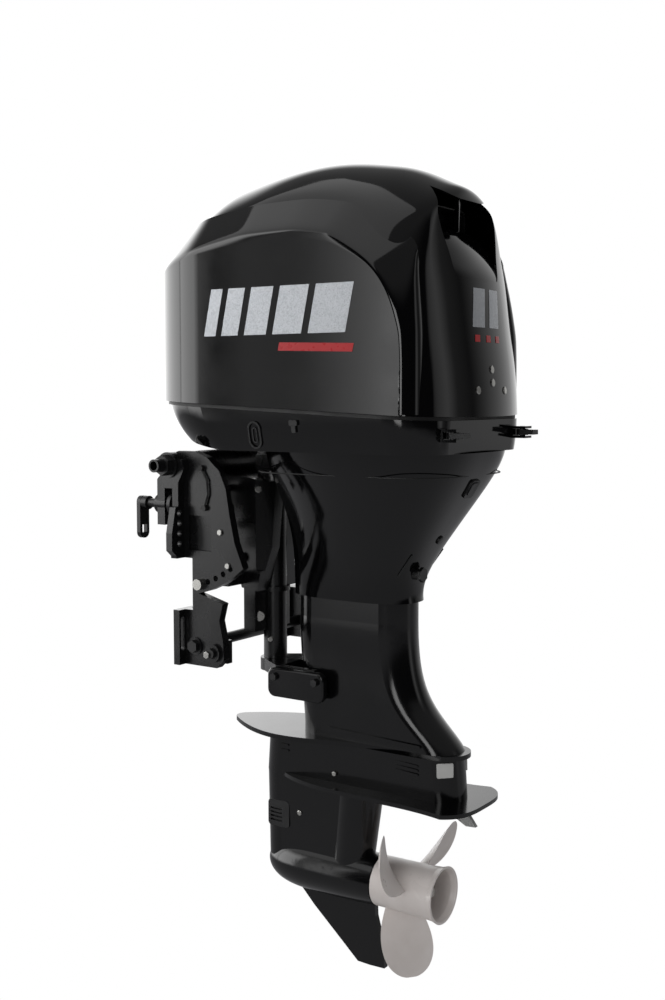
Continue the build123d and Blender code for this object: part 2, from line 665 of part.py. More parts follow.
def exhaust_case():
    """Leg between the tray and the gearcase, hollow, with a drive shaft passage and exhaust chamber."""
    neck = extrude(stadium(case_front_x - 2, case_neck_rear_x, case_half_width, 46, 42, case_flare_z), amount=case_top_z - case_flare_z, dir=(0, 0, 1))
    span = case_flare_z - case_seam_z
    flare = [(0, 0, 0, 0), (0.22, 0, 2, 1), (0.45, 3, 10, 2), (0.63, 5, 26, 2), (0.80, 7, 54, 3), (1.0, 8, 92, 4)]
    sections = [stadium(case_front_x - 2 + front, case_neck_rear_x + rear, case_half_width - thin, 46, 42, case_flare_z - share * span)
                for share, front, rear, thin in flare]
    body = neck + loft(sections)
    chamber = block(262, 366, -case_half_width + 16, case_half_width - 16, case_seam_z - 1, case_top_z - 14)
    body -= fillet(chamber.edges().filter_by(Axis.Z), 12)
    body -= rod((drive_x, 0, case_seam_z - 1), (drive_x, 0, case_top_z + 1), drive_shaft_radius + 8)
    x = lower_cover_front_x + 78
    for side in (-1, 1):
        body -= rod((x, side * (case_half_width - 10), lower_mount_z), (x, side * (case_half_width + 6), lower_mount_z), lower_mount_radius)
        body -= rod((case_front_x - 6, side * upper_mount_y, upper_mount_z),
                    (upper_mount_rear_x, side * upper_mount_y, upper_mount_z), upper_mount_radius)
    return body


def apron_levels():
    """Height, front, rear, half width and nose half width of the funnel, from the tray down."""
    return [
        (tray_bottom_z, 122, 516, 158, 92), (apron_seam_z, 126, 503, 146, 82), (-56, 138, 474, 124, 62),
        (-112, 150, 437, 99, 44), (-168, 155, 404, 75, 37), (apron_bottom_z, 157, 393, 59, 36)]


def apron():
    """Funnel round the top of the leg: port half and starboard half, each with a lug seated against the leg."""
    wall = apron_wall
    outer = loft([egg(front, rear, half, nose, z) for z, front, rear, half, nose in apron_levels()])
    inner_levels = [(z, front + wall, rear - wall, half - wall, nose - 1) for z, front, rear, half, nose in apron_levels()]
    inner = loft([egg(front, rear, half, nose, z) for z, front, rear, half, nose in inner_levels])
    shell = outer - inner
    for side in (-1, 1):
        low_y, high_y = sorted((side * (case_half_width + seat_gap), side * 90))
        lug = block(apron_lug_x, apron_lug_x + 40, low_y, high_y, apron_lug_z, apron_lug_z + 12)
        shell += lug & outer
    shell -= block(100, upper_mount_x + 34, -62, 62, upper_mount_z - 26, tray_bottom_z + 1)
    port = shell & block(0, 600, -300, 0, -300, 100)
    starboard = shell & block(0, 600, 0, 300, -300, 100)
    return port, starboard


# ---------------------------------------------------------------- tray, seal and cowl

tray_front_x = cowl_front_x + 5
tray_rear_x = 511.0
tray_half_width = cowl_half_width - 4
tray_front_corner = cowl_front_corner - 5
tray_rear_corner = cowl_rear_corner - 4

def parting_z(x):
    """Height of the joint between tray and cowl: it falls gently towards the rear."""
    return parting_front_z + (parting_rear_z - parting_front_z) * (x - cowl_front_x) / (cowl_rear_x - cowl_front_x)


def above_parting(offset, top):
    """Wide block over the parting plane, shifted by an offset."""
    low_x, high_x = cowl_front_x - 20, cowl_rear_x + 40
    return slab_y([(low_x, parting_z(low_x) + offset), (high_x, parting_z(high_x) + offset), (high_x, top), (low_x, top)], -260, 260)


def bottom_tray():
    """Bottom cowl: dished tray with a rising front and a cut-out for the leg and the steering head."""
    wall = tray_wall

    def hull(inset):
        lower = rounded_plan(30 + inset, 504 - inset, 166 - inset, 112 - inset, 62 - inset, 12)
        middle = rounded_plan(-36 + inset, 509 - inset, 182 - inset, 132 - inset, 74 - inset, 60)
        upper = rounded_plan(tray_front_x + inset, tray_rear_x - inset, tray_half_width - inset,
                             tray_front_corner - inset, tray_rear_corner - inset, 118)
        return loft([lower, middle, upper])

    def keel(rise):
        return slab_y([(cowl_front_x - 20, 98 + rise), (-72, 88 + rise), (-48, 68 + rise), (-12, 51 + rise), (44, 37 + rise),
                       (110, tray_bottom_z + rise), (540, tray_bottom_z + rise), (540, 200), (cowl_front_x - 20, 200)], -260, 260)

    body = (hull(0) & keel(0)) - (hull(wall) & keel(wall)) - above_parting(-seal_height, 240)
    body -= block(cowl_front_x - 10, upper_mount_x + 34, -42, 42, 0, steering_head_top_z + 5)
    body -= block(case_front_x - 8, 410, -case_half_width - 6, case_half_width + 6, 0, 60)
    return body


def tray_seal():
    """Rubber seal between the tray rim and the cowl edge."""
    width = 12.0
    outer = rounded_plan(tray_front_x, tray_rear_x - 2, tray_half_width - 1, tray_front_corner - 1, tray_rear_corner - 1, 60)
    inner = rounded_plan(tray_front_x + width, tray_rear_x - 2 - width, tray_half_width - 1 - width,
                         tray_front_corner - 1 - width, tray_rear_corner - 1 - width, 60)
    outer = extrude(outer, amount=80, dir=(0, 0, 1))
    inner = extrude(inner, amount=80, dir=(0, 0, 1))
    ring = outer - inner
    band = above_parting(-seal_height, 240) - above_parting(-seat_gap, 240)
    return ring & band


def cowl_ribs():
    """Cowl cross sections: X, height where the side starts to lean in, shoulder half width and height, top height."""
    return [
        (cowl_front_x, 245, 88, 312, 332), (cowl_front_x + 60, 285, 116, 366, 402), (80, 346, 136, 412, 471),
        (250, 358, 150, 424, 505), (380, 285, 136, 404, 482), (450, 120, 108, 350, 455), (cowl_rear_x + 3, 50, 60, 320, 437)]


def cowl_section(x, lean_z, shoulder_half, shoulder_z, top_z, inset):
    """Cross section of the canopy: flat bottom, upright sides, then one smooth arch over the top."""
    half = cowl_half_width - canopy_step - inset
    base = 20.0
    low_port, low_star = (x, -half, base), (x, half, base)
    port, star = (x, -half, lean_z), (x, half, lean_z)
    port_top, star_top = (x, inset - shoulder_half, shoulder_z - inset), (x, shoulder_half - inset, shoulder_z - inset)
    arch = Spline(port, port_top, (x, 0, top_z - inset), star_top, star, tangents=[(0, 0, 1), (0, 0, -1)])
    return make_face([Line(low_star, low_port), Line(low_port, port), arch, Line(star, low_star)])


def cheek_edge():
    """X and height of the top edge of the raised cheeks, from the front to their rear end."""
    return [
        (cowl_front_x - 6, 329), (-40, 338), (45, 349), (127, 359), (192, 365), (256, 366), (328, 358), (371, 341),
        (414, 314), (442, 278), (458, 239), (466, 205), (468, 157)]


def cowl_hull(inset):
    """Closed outer form of the cowl, or the same form shrunk by an inset: canopy and raised cheeks."""
    ribs = [list(rib) for rib in cowl_ribs()]
    ribs[0][0] += inset
    ribs[-1][0] -= inset
    canopy = loft([cowl_section(*rib, inset) for rib in ribs])
    plan = rounded_plan(cowl_front_x + inset, cowl_rear_x + 1 - inset, cowl_half_width + 6 - inset,
                        cowl_front_corner - inset, cowl_rear_corner - inset, 0)
    lean = [(-200, 0), (cowl_rear_x + 5, 0), (cowl_rear_x, parting_rear_z), (cowl_rear_x - 1, 160), (cowl_rear_x - 5, 233)]
    lean += [(cowl_rear_x - 9, 292), (cowl_rear_x - 14, 348), (cowl_rear_x - 20, 400), (cowl_rear_x - 26, 440)]
    lean += [(cowl_rear_x - 35, 470), (-200, 700)]
    leaned = slab_y([(x - inset, z) for x, z in lean], -260, 260)
    cheek_plan = rounded_plan(cowl_front_x - 1 + inset, cowl_rear_x - 1 - inset, cowl_half_width - inset,
                              cowl_front_corner - inset, cowl_rear_corner - inset, 0)
    cheek_side = [(x - (inset if x > 440 else 0), z - inset) for x, z in cheek_edge()]
    cheek_side += [(cheek_side[-1][0], 60), (cowl_front_x - 6, 60)]
    cheeks = extrude(cheek_plan, amount=700, dir=(0, 0, 1)) & slab_y(cheek_side, -260, 260)
    return (canopy & extrude(plan, amount=700, dir=(0, 0, 1)) & leaned) + cheeks


def intake_throat(inset, front_x, rear_x):
    """Prism of the rear air intake, wider at its lip than at its sill."""
    return slab_x([(-intake_top_half_width + inset, intake_lip_z - inset), (intake_top_half_width - inset, intake_lip_z - inset),
                   (intake_sill_half_width - inset, intake_sill_z + inset), (-intake_sill_half_width + inset, intake_sill_z + inset)],
                  front_x, rear_x)


def top_cowl():
    """Top cowl: a thin shell open below, with the air intake through its rear."""
    shell = (cowl_hull(0) - cowl_hull(cowl_wall)) & above_parting(0, 700)
    shell -= intake_throat(0, cowl_rear_x - intake_depth, cowl_rear_x + 30)
    return shell


def intake_duct():
    """Box behind the rear air intake, open aft, with two upright bars across its mouth."""
    front_x = cowl_rear_x - intake_depth
    gap = 0.2
    duct = intake_throat(gap, front_x, cowl_rear_x - 21) - intake_throat(4, front_x + 4, cowl_rear_x)
    for side in (-1, 1):
        centre_y = side * intake_bar_y
        duct += block(front_x + 2, cowl_rear_x - 30, centre_y - intake_bar_thickness / 2, centre_y + intake_bar_thickness / 2,
                      intake_sill_z + 2, intake_lip_z - 2)
    return duct & cowl_hull(0)


# ---------------------------------------------------------------- cowl latches

latch_z = 58.0
latch_pivot_x = tray_rear_x + 11.5


def latch_lever():
    """Starboard cowl latch: a flat lever on an upright pin at the rear of the tray."""
    lever = rod((latch_pivot_x, latch_y, latch_z - 9), (latch_pivot_x, latch_y, latch_z + 9), latch_pivot_radius)
    lever += rod((latch_pivot_x, latch_y, latch_z - 5), (latch_pivot_x, latch_y, latch_z + 5), 10)
    lever += block(latch_pivot_x, latch_pivot_x + 24, latch_y - 10, latch_y + 10, latch_z - 4, latch_z + 4)
    return lever


def latch_bracket():
    """Starboard latch bracket: two ears on the rear of the tray round the latch pin."""
    ear = block(500, latch_pivot_x + 11, latch_y - 12, latch_y + 12, latch_z + 6, latch_z + 10)
    ear += block(500, latch_pivot_x + 11, latch_y - 12, latch_y + 12, latch_z - 10, latch_z - 6)
    ear += block(500, tray_rear_x, latch_y - 12, latch_y + 12, latch_z - 10, latch_z + 10)
    return ear - rod((latch_pivot_x, latch_y, latch_z - 12), (latch_pivot_x, latch_y, latch_z + 12), latch_pivot_radius + running_gap)


# ---------------------------------------------------------------- engine

cylinder_pitch = 92.0
cylinder_count = 3
head_front_x = block_rear_x
cover_front_x = head_front_x + head_length
cylinder_low_z = block_bottom_z + 32.0


def engine_block():
    """Crankcase and cylinder block with a crank passage and three bores."""
    body = block(block_front_x + 40, block_rear_x, -block_half_width, block_half_width, block_bottom_z, block_top_z)
    body += rod((drive_x, 0, block_bottom_z), (drive_x, 0, block_top_z), 84)
    body = fillet(body.edges().filter_by(Axis.Z).group_by(Axis.X)[-1], 10)
    body += block(case_front_x + 4, 400, -case_half_width, case_half_width, case_top_z, block_bottom_z + 1)
    body -= rod((drive_x, 0, case_top_z - 1), (drive_x, 0, block_top_z + 1), drive_shaft_radius + 8)
    for number in range(cylinder_count):
        z = cylinder_low_z + number * (block_top_z - block_bottom_z - 64) / (cylinder_count - 1)
        body -= rod((drive_x + 40, 0, z), (block_rear_x + 1, 0, z), 32)
    for rib in range(5):
        z = block_bottom_z + 40 + rib * 44
        body += block(block_front_x + 60, block_rear_x, block_half_width - 1, block_half_width + 5, z - 3, z + 3)
    return body


def cylinder_head():
    """Cylinder head casting behind the block."""
    body = block(head_front_x, cover_front_x, -head_half_width, head_half_width, block_bottom_z + 8, block_top_z - 6)
    body = fillet(body.edges().filter_by(Axis.X), 12)
    return body - rod((cam_x, 0, block_top_z - 28), (cam_x, 0, block_top_z + 1), cam_shaft_radius + running_gap)


def head_cover():
    """Rounded cam cover at the rear of the engine."""
    body = block(cover_front_x, cover_front_x + head_cover_length, -head_half_width + 8, head_half_width - 8, block_bottom_z + 14, block_top_z - 12)
    return fillet(body.edges().filter_by(Axis.Z).group_by(Axis.X)[-1], 18)


def intake_manifold():
    """Plenum on the starboard side with one runner for each cylinder."""
    plenum_y = block_half_width + 52
    body = rod((300, plenum_y, block_bottom_z + 26), (300, plenum_y, block_top_z - 10), 26)
    for number in range(cylinder_count):
        z = cylinder_low_z + number * (block_top_z - block_bottom_z - 64) / (cylinder_count - 1)
        body += rod((300, plenum_y, z), (head_front_x + 34, plenum_y, z), 15)
        body += rod((head_front_x + 34, head_half_width, z), (head_front_x + 34, plenum_y, z), 15)
        body += Pos(head_front_x + 34, plenum_y, z) * Sphere(15)
    return body


def starter_motor():
    """Starter motor with its solenoid, on the port side of the crankcase."""
    centre_y = -block_half_width - 30
    body = rod((168, centre_y, 190), (168, centre_y, 330), 29)
    body += rod((168, centre_y, 330), (168, centre_y, 344), 14)
    body += block(172, 190, -block_half_width - 12, -block_half_width, 214, 306)
    body += rod((214, centre_y + 4, 220), (214, centre_y + 4, 300), 18)
    body += block(186, 200, centre_y - 8, centre_y + 8, 236, 284)
    return body


def oil_filter():
    """Screw-on oil filter on the port side of the block."""
    body = rod((288, -block_half_width, 160), (288, -block_half_width - 74, 160), 33)
    return fillet(body.edges().group_by(Axis.Y)[0], 8)


def electronics_box():
    """Engine control box with its connector, on the port side of the block."""
    body = block(222, 318, -block_half_width - 34, -block_half_width, 214 + 92, block_top_z - 8)
    body += block(240, 300, -block_half_width - 46, -block_half_width - 33, 312, 326)
    return body


def ignition_coils():
    """One coil and plug cap for each cylinder, on the port side of the head."""
    pieces = []
    for number in range(cylinder_count):
        z = cylinder_low_z + number * (block_top_z - block_bottom_z - 64) / (cylinder_count - 1)
        coil = rod((head_front_x + 34, -head_half_width, z), (head_front_x + 34, -head_half_width - 36, z), 11)
        coil += block(head_front_x + 14, head_front_x + 54, -head_half_width - 52, -head_half_width - 35, z - 15, z + 15)
        pieces.append(coil)
    return Compound(children=pieces)


# ---------------------------------------------------------------- crank train

belt_top_z = belt_bottom_z + belt_width
cam_pulley_radius = 2 * crank_pulley_radius


def flywheel():
    """Flywheel with its ring of starter teeth and a hub down to the crank pulley."""
    top_z = flywheel_bottom_z + flywheel_thickness
    body = rod((drive_x, 0, flywheel_bottom_z), (drive_x, 0, top_z), flywheel_radius - 4)
    body -= rod((drive_x, 0, flywheel_bottom_z + 8), (drive_x, 0, top_z + 1), flywheel_radius - 18)
    body += rod((drive_x, 0, flywheel_bottom_z), (drive_x, 0, top_z + 6), 26)
    for tooth in range(60):
        body += Pos(drive_x, 0, flywheel_bottom_z + 5) * (Rot(0, 0, tooth * 6) * (Pos(flywheel_radius - 2.5, 0, 0) * Box(5, 5, 10)))
    body += rod((drive_x, 0, belt_bottom_z), (drive_x, 0, flywheel_bottom_z + 1), crank_pulley_radius)
    body -= rod((drive_x, 0, belt_bottom_z - 1), (drive_x, 0, top_z + 7), drive_shaft_radius)
    return body


def drive_shaft():
    """Vertical shaft from the flywheel nut down to the pinion nut."""
    body = rod((drive_x, 0, prop_axis_z + pinion_low), (drive_x, 0, flywheel_bottom_z + flywheel_thickness + 10), drive_shaft_radius)
    body += rod((drive_x, 0, prop_axis_z + pinion_low - 8), (drive_x, 0, prop_axis_z + pinion_low + 1), 6)
    body += hex_bar((drive_x, 0, flywheel_bottom_z + flywheel_thickness + 6), (drive_x, 0, flywheel_bottom_z + flywheel_thickness + 20), 34)
    body += hex_bar((drive_x, 0, prop_axis_z + pinion_low - 7), (drive_x, 0, prop_axis_z + pinion_low - 1), 15)
    return body


def cam_pulley():
    """Cam pulley, twice the crank pulley, on its shaft into the head."""
    body = rod((cam_x, 0, belt_bottom_z + 2), (cam_x, 0, belt_top_z - 2), cam_pulley_radius)
    for turn in range(6):
        hole = Rot(0, 0, turn * 60) * (Pos(cam_pulley_radius * 0.62, 0, 0) * Cylinder(9, 60))
        body -= Pos(cam_x, 0, belt_bottom_z + 10) * hole
    body += rod((cam_x, 0, block_top_z - 26), (cam_x, 0, belt_top_z + 4), cam_shaft_radius)
    return body


def timing_belt():
    """Timing belt round both pulleys, shown standing, with a running gap on each pulley."""
    length = cam_x - drive_x

    def loop(extra, low, high):
        crank_r = crank_pulley_radius + seat_gap + extra
        cam_r = cam_pulley_radius + seat_gap + extra
        lean = math.asin((cam_r - crank_r) / length)
        tangent = []
        for sign in (1, -1):
            direction = (-math.sin(lean), sign * math.cos(lean))
            tangent.append((drive_x + crank_r * direction[0], crank_r * direction[1]))
            tangent.append((cam_x + cam_r * direction[0], cam_r * direction[1]))
        hull = slab_z([tangent[0], tangent[1], tangent[3], tangent[2]], low, high)
        hull += rod((drive_x, 0, low), (drive_x, 0, high), crank_r)
        hull += rod((cam_x, 0, low), (cam_x, 0, high), cam_r)
        return hull

    return loop(belt_thickness, belt_bottom_z + 2, belt_top_z - 4) - loop(0, belt_bottom_z, belt_top_z)


# ---------------------------------------------------------------- gearcase

def gearcase():
    """Gearcase casting: upper body, anti-ventilation plate, strut, torpedo and skeg, bored for the gears."""
    top_z = case_seam_z - splash_plate_thickness
    upper = loft([stadium(strut_front_x + 6, 478, 43, 40, 34, top_z), stadium(strut_front_x, 484, 39, 40, 34, plate_top_z - 4)], ruled=True)
    rear_y = 0.72 * plate_half_width
    port = [(plate_front_x + 8, -16), (238, -0.8 * plate_half_width), (340, -0.86 * plate_half_width), (486, -plate_half_width)]
    rear = [(486, -plate_half_width), (512, -rear_y), (plate_rear_x, 0), (512, rear_y), (486, plate_half_width)]
    star = [(x, -y) for x, y in reversed(port)]
    plan = make_face([
        Spline(*[(x, y, plate_top_z) for x, y in port]),
        Spline(*[(x, y, plate_top_z) for x, y in rear]),
        Spline(*[(x, y, plate_top_z) for x, y in star]),
        ThreePointArc((*star[-1], plate_top_z), (plate_front_x, 0, plate_top_z), (*port[0], plate_top_z)),
    ])
    plate = extrude(plan, amount=plate_thickness, dir=(0, 0, -1))
    strut = loft([stadium(strut_front_x, strut_rear_x + 22, 37, 40, 60, plate_top_z - 4), stadium(strut_front_x + 2, strut_rear_x, 31, 40, 56, prop_axis_z + 12)], ruled=True)
    shoulder_x = torpedo_nose_x + 112
    shoulder = (shoulder_x, 0, prop_axis_z + torpedo_radius)
    rear_top = (torpedo_rear_x, 0, prop_axis_z + torpedo_radius - 3)
    profile = make_face([
        Line((torpedo_nose_x, 0, prop_axis_z), (torpedo_rear_x, 0, prop_axis_z)),
        Line((torpedo_rear_x, 0, prop_axis_z), rear_top),
        Spline(rear_top, shoulder, tangents=[(-1, 0, 0.08), (-1, 0, 0)]),
        Spline(shoulder, (torpedo_nose_x, 0, prop_axis_z), tangents=[(-1, 0, 0), (-0.3, 0, -0.95)]),
    ])
    torpedo = revolve(profile, axis=Axis((0, 0, prop_axis_z), (1, 0, 0)))
    skeg = slab_y([(134, prop_axis_z - 20), (142, -752), (184, -794), (244, -846), (277, skeg_bottom_z + 1), (302, skeg_bottom_z), (332, skeg_bottom_z + 1),
                   (331, -856), (322, -818), (313, -786), (311, prop_axis_z - 20)], -skeg_thickness / 2, skeg_thickness / 2)
    body = upper + plate
    body += strut
    body += torpedo
    body += skeg
    body -= rod((drive_x, 0, prop_axis_z), (drive_x, 0, top_z + 1), drive_shaft_radius + 3)
    body -= rod((drive_x, 0, prop_axis_z), (drive_x, 0, prop_axis_z + 45), 24)
    body -= rod((drive_x, 0, top_z - pump_height), (drive_x, 0, top_z + 1), pump_radius)
    body -= block(300, 440, -24, 24, top_z - 50, top_z + 1)
    body -= rod((gear_chamber_front_x, 0, prop_axis_z), (torpedo_rear_x + 1, 0, prop_axis_z), gear_chamber_radius)
    body -= rod((forward_hub_front_x - 1, 0, prop_axis_z), (gear_chamber_front_x + 1, 0, prop_axis_z), gear_hub_radius + running_gap)
    return body


def splash_plate():
    """Flat spray plate between leg and gearcase, with a rounded forward tip and the passages through it."""
    top_z = case_seam_z
    low_z = case_seam_z - splash_plate_thickness
    tip = (splash_plate_tip_x, 0, low_z)
    port = [(splash_plate_tip_x + 8, -16), (60, -46), (136, -splash_plate_half_width), (240, -64), (460, -40)]
    star = [(x, -y) for x, y in reversed(port)]
    plan = make_face([
        Spline(*[(x, y, low_z) for x, y in port]),
        ThreePointArc((460, -40, low_z), (489, 0, low_z), (460, 40, low_z)),
        Spline(*[(x, y, low_z) for x, y in star]),
        ThreePointArc((*star[-1], low_z), tip, (*port[0], low_z)),
    ])
    plate = extrude(plan, amount=top_z - low_z, dir=(0, 0, 1))
    plate -= rod((drive_x, 0, low_z - 1), (drive_x, 0, top_z + 1), drive_shaft_radius + 3)
    return plate - block(300, 366, -24, 24, low_z - 1, top_z + 1)


def trim_tab():
    """Small fin under the rear of the anti-ventilation plate, with its stud."""
    top_z = plate_top_z - plate_thickness
    fin = slab_y([(436, top_z - 5), (484, top_z - 5), (506, top_z - tab_height), (488, top_z - tab_height - 1), (448, top_z - 14)], -4, 4)
    fin += rod((460, 0, top_z - 6), (460, 0, top_z), 16)
    fin += rod((460, 0, top_z - 1), (460, 0, plate_top_z - 5), 4.5)
    return fin


def intake_cover_blank():
    """Starboard water intake cover before its slots are cut."""
    cover = block(intake_cover_x, intake_cover_x + intake_cover_length, 24, intake_cover_outer_y,
                  intake_cover_z - 24, intake_cover_z + 24)
    return fillet(cover.edges().filter_by(Axis.Y), 7)


def intake_covers():
    """Slotted water intake cover for the side of the strut."""
    cover = intake_cover_blank()
    for slot in range(intake_slot_count):
        z = intake_cover_z - 13 + slot * intake_slot_pitch
        cover -= block(intake_cover_x + 5, intake_cover_x + 30, intake_cover_outer_y - 4, intake_cover_outer_y + 1, z - 1.6, z + 1.6)
    return cover


def pump_housing():
    """Water pump housing under the leg, round the impeller."""
    top_z = case_seam_z - splash_plate_thickness
    low_z = top_z - pump_height
    body = rod((drive_x, 0, low_z), (drive_x, 0, top_z), pump_radius - 0.2)
    body -= rod((drive_x, 0, low_z + 6), (drive_x, 0, top_z - 6), impeller_radius + seat_gap)
    body -= rod((drive_x, 0, low_z - 1), (drive_x, 0, top_z + 1), drive_shaft_radius + running_gap)
    return body


def impeller():
    """Six-bladed water pump impeller on the drive shaft."""
    low_z = case_seam_z - splash_plate_thickness - pump_height + 6 + seat_gap
    high_z = case_seam_z - splash_plate_thickness - 6 - seat_gap
    body = rod((drive_x, 0, low_z), (drive_x, 0, high_z), 14)
    middle = (low_z + high_z) / 2
    for blade in range(6):
        vane = Pos(18, 0, 0) * Box(12, 3.5, high_z - low_z)
        body += Pos(drive_x, 0, middle) * (Rot(0, 0, blade * 60) * vane)
    return body - rod((drive_x, 0, low_z - 1), (drive_x, 0, high_z + 1), drive_shaft_radius)


def bearing_carrier():
    """Carrier that closes the gear chamber and holds the reverse gear and the propeller shaft."""
    body = rod((carrier_front_x, 0, prop_axis_z), (torpedo_rear_x - 1, 0, prop_axis_z), gear_chamber_radius - 0.2)
    body -= rod((carrier_front_x - 1, 0, prop_axis_z), (carrier_front_x + carrier_seat_depth, 0, prop_axis_z), gear_hub_radius + running_gap)
    body -= rod((carrier_front_x, 0, prop_axis_z), (torpedo_rear_x, 0, prop_axis_z), prop_shaft_radius + running_gap)
    for turn in range(4):
        port = Rot(turn * 90 + 45, 0, 0) * (Pos(0, 0, 28) * Box(200, 18, 10))
        body -= Pos(torpedo_rear_x + 40, 0, prop_axis_z) * port
    return body


# ---------------------------------------------------------------- bevel gears

gear_pitch_radius = pinion_pitch_radius * gear_teeth / pinion_teeth
outer_cone = math.hypot(pinion_pitch_radius, gear_pitch_radius)
inner_cone = outer_cone - gear_face_width


def bevel_gear(teeth, pitch_radius, mate_radius, bore):
    """Straight bevel gear about +Z with its cone apex at the origin; the teeth taper to the apex."""
    pitch_angle = math.atan2(pitch_radius, mate_radius)
    root_angle = pitch_angle - tooth_dedendum / outer_cone
    tip_angle = pitch_angle + tooth_addendum / outer_cone
    thick = math.pi * pitch_radius / teeth / 2 - tooth_backlash / 2
    slope = math.tan(math.radians(20))
    root_half = (thick + tooth_dedendum * slope) * 0.94
    tip_half = thick - tooth_addendum * slope

    def quad(cone):
        scale = cone / outer_cone
        root_r, root_z = cone * math.sin(root_angle - 0.02), cone * math.cos(root_angle - 0.02)
        tip_r, tip_z = cone * math.sin(tip_angle), cone * math.cos(tip_angle)
        corners = [(root_r, -root_half * scale, root_z), (tip_r, -tip_half * scale, tip_z),
                   (tip_r, tip_half * scale, tip_z), (root_r, root_half * scale, root_z)]
        return make_face(Polyline(*corners, close=True))

    tooth = loft([quad(inner_cone), quad(outer_cone)], ruled=True)
    back = outer_cone * math.cos(root_angle) - 0.1
    outline = [(bore, inner_cone * math.cos(root_angle)), (inner_cone * math.sin(root_angle), inner_cone * math.cos(root_angle)),
               (outer_cone * math.sin(root_angle), outer_cone * math.cos(root_angle)), (outer_cone * math.sin(root_angle), back + 7), (bore, back + 7)]
    blank = revolve(make_face(Polyline(*[(r, 0, z) for r, z in outline], close=True)), axis=Axis.Z)
    gear = blank
    for number in range(teeth):
        gear += Rot(0, 0, number * 360 / teeth) * tooth
    return gear, inner_cone * math.cos(root_angle), back + 7


apex = Pos(drive_x, 0, prop_axis_z)
pinion_shape, pinion_low, pinion_high = bevel_gear(pinion_teeth, pinion_pitch_radius, gear_pitch_radius, drive_shaft_radius)
gear_shape, gear_inner, gear_back = bevel_gear(gear_teeth, gear_pitch_radius, pinion_pitch_radius, prop_shaft_radius + running_gap)


def lug_ring(low, high, phase):
    """Ring of evenly spaced clutch lugs about the local Z axis."""
    ring = pipe((0, 0, low), (0, 0, high), dog_radius, prop_shaft_radius + running_gap)
    pitch = 360 / dog_lug_count
    half = math.radians(pitch / 4 - 1.5)
    reach = dog_radius * 2
    lugs = None
    for number in range(dog_lug_count):
        turn = math.radians(number * pitch + phase)
        corners = [(0, 0), (reach * math.cos(turn - half), reach * math.sin(turn - half)), (reach * math.cos(turn + half), reach * math.sin(turn + half))]
        lug = slab_z(corners, low, high) & ring
        lugs = lug if lugs is None else lugs + lug
    return lugs


def clutch_gear(hub_length):
    """Bevel gear about +Z with a hub behind it and clutch lugs facing the apex."""
    body = gear_shape + pipe((0, 0, gear_back - 1), (0, 0, gear_back + hub_length), gear_hub_radius, prop_shaft_radius + running_gap)
    return body + lug_ring(gear_inner - dog_lug_height, gear_inner + 0.6, 0)


def forward_gear():
    """Forward bevel gear with its hub in the nose of the torpedo."""
    return apex * (Rot(0, -90, 0) * clutch_gear(drive_x - gear_back - forward_hub_front_x))


def reverse_gear():
    """Reverse bevel gear with its hub in the bearing carrier."""
    return apex * (Rot(0, 90, 0) * clutch_gear(carrier_front_x + carrier_seat_depth - seat_gap - drive_x - gear_back))


def clutch_dog():
    """Sliding clutch dog between the two gears, in neutral, with lugs on both faces."""
    tip = gear_inner - dog_lug_height - dog_neutral_gap
    half = tip - dog_lug_height
    body = pipe((0, 0, -half), (0, 0, half), dog_radius, prop_shaft_radius + running_gap)
    phase = 180 / dog_lug_count
    body += lug_ring(-tip, 0.6 - half, phase)
    body += lug_ring(half - 0.6, tip, phase)
    return apex * (Rot(0, 90, 0) * body)


# ---------------------------------------------------------------- propeller

prop_core_front_x = propeller_front_x + 4
prop_core_rear_x = 400.0


def blade():
    """One blade pointing up, a loft of lens sections twisted to the pitch."""
    spans = [(36, 60, 0), (60, 82, 4), (86, 100, 9), (110, 104, 15), (130, 90, 20), (143, 62, 24), (propeller_radius, 22, 27)]
    sections = []
    for radius, chord, sweep_back in spans:
        pitch_angle = math.atan2(propeller_pitch, 2 * math.pi * radius)
        along = (math.sin(pitch_angle), -math.cos(pitch_angle))
        across = (math.cos(pitch_angle), math.sin(pitch_angle))
        centre_x = 370 + blade_rake * (radius - 36) / (propeller_radius - 36)
        thick = blade_thickness * (1.15 - 0.75 * radius / propeller_radius)

        def point(along_part, across_part):
            x = centre_x + along[0] * along_part + across[0] * across_part
            y = along[1] * along_part + across[1] * across_part
            return x, y - 0.35 * sweep_back, radius

        front, rear = point(-chord / 2, 0), point(chord / 2, 0)
        sections.append(make_face([ThreePointArc(front, point(0, thick / 2 - 0.05 * chord), rear), ThreePointArc(rear, point(0, -thick / 2 - 0.05 * chord), front)]))
    return Pos(0, 0, prop_axis_z) * loft(sections)


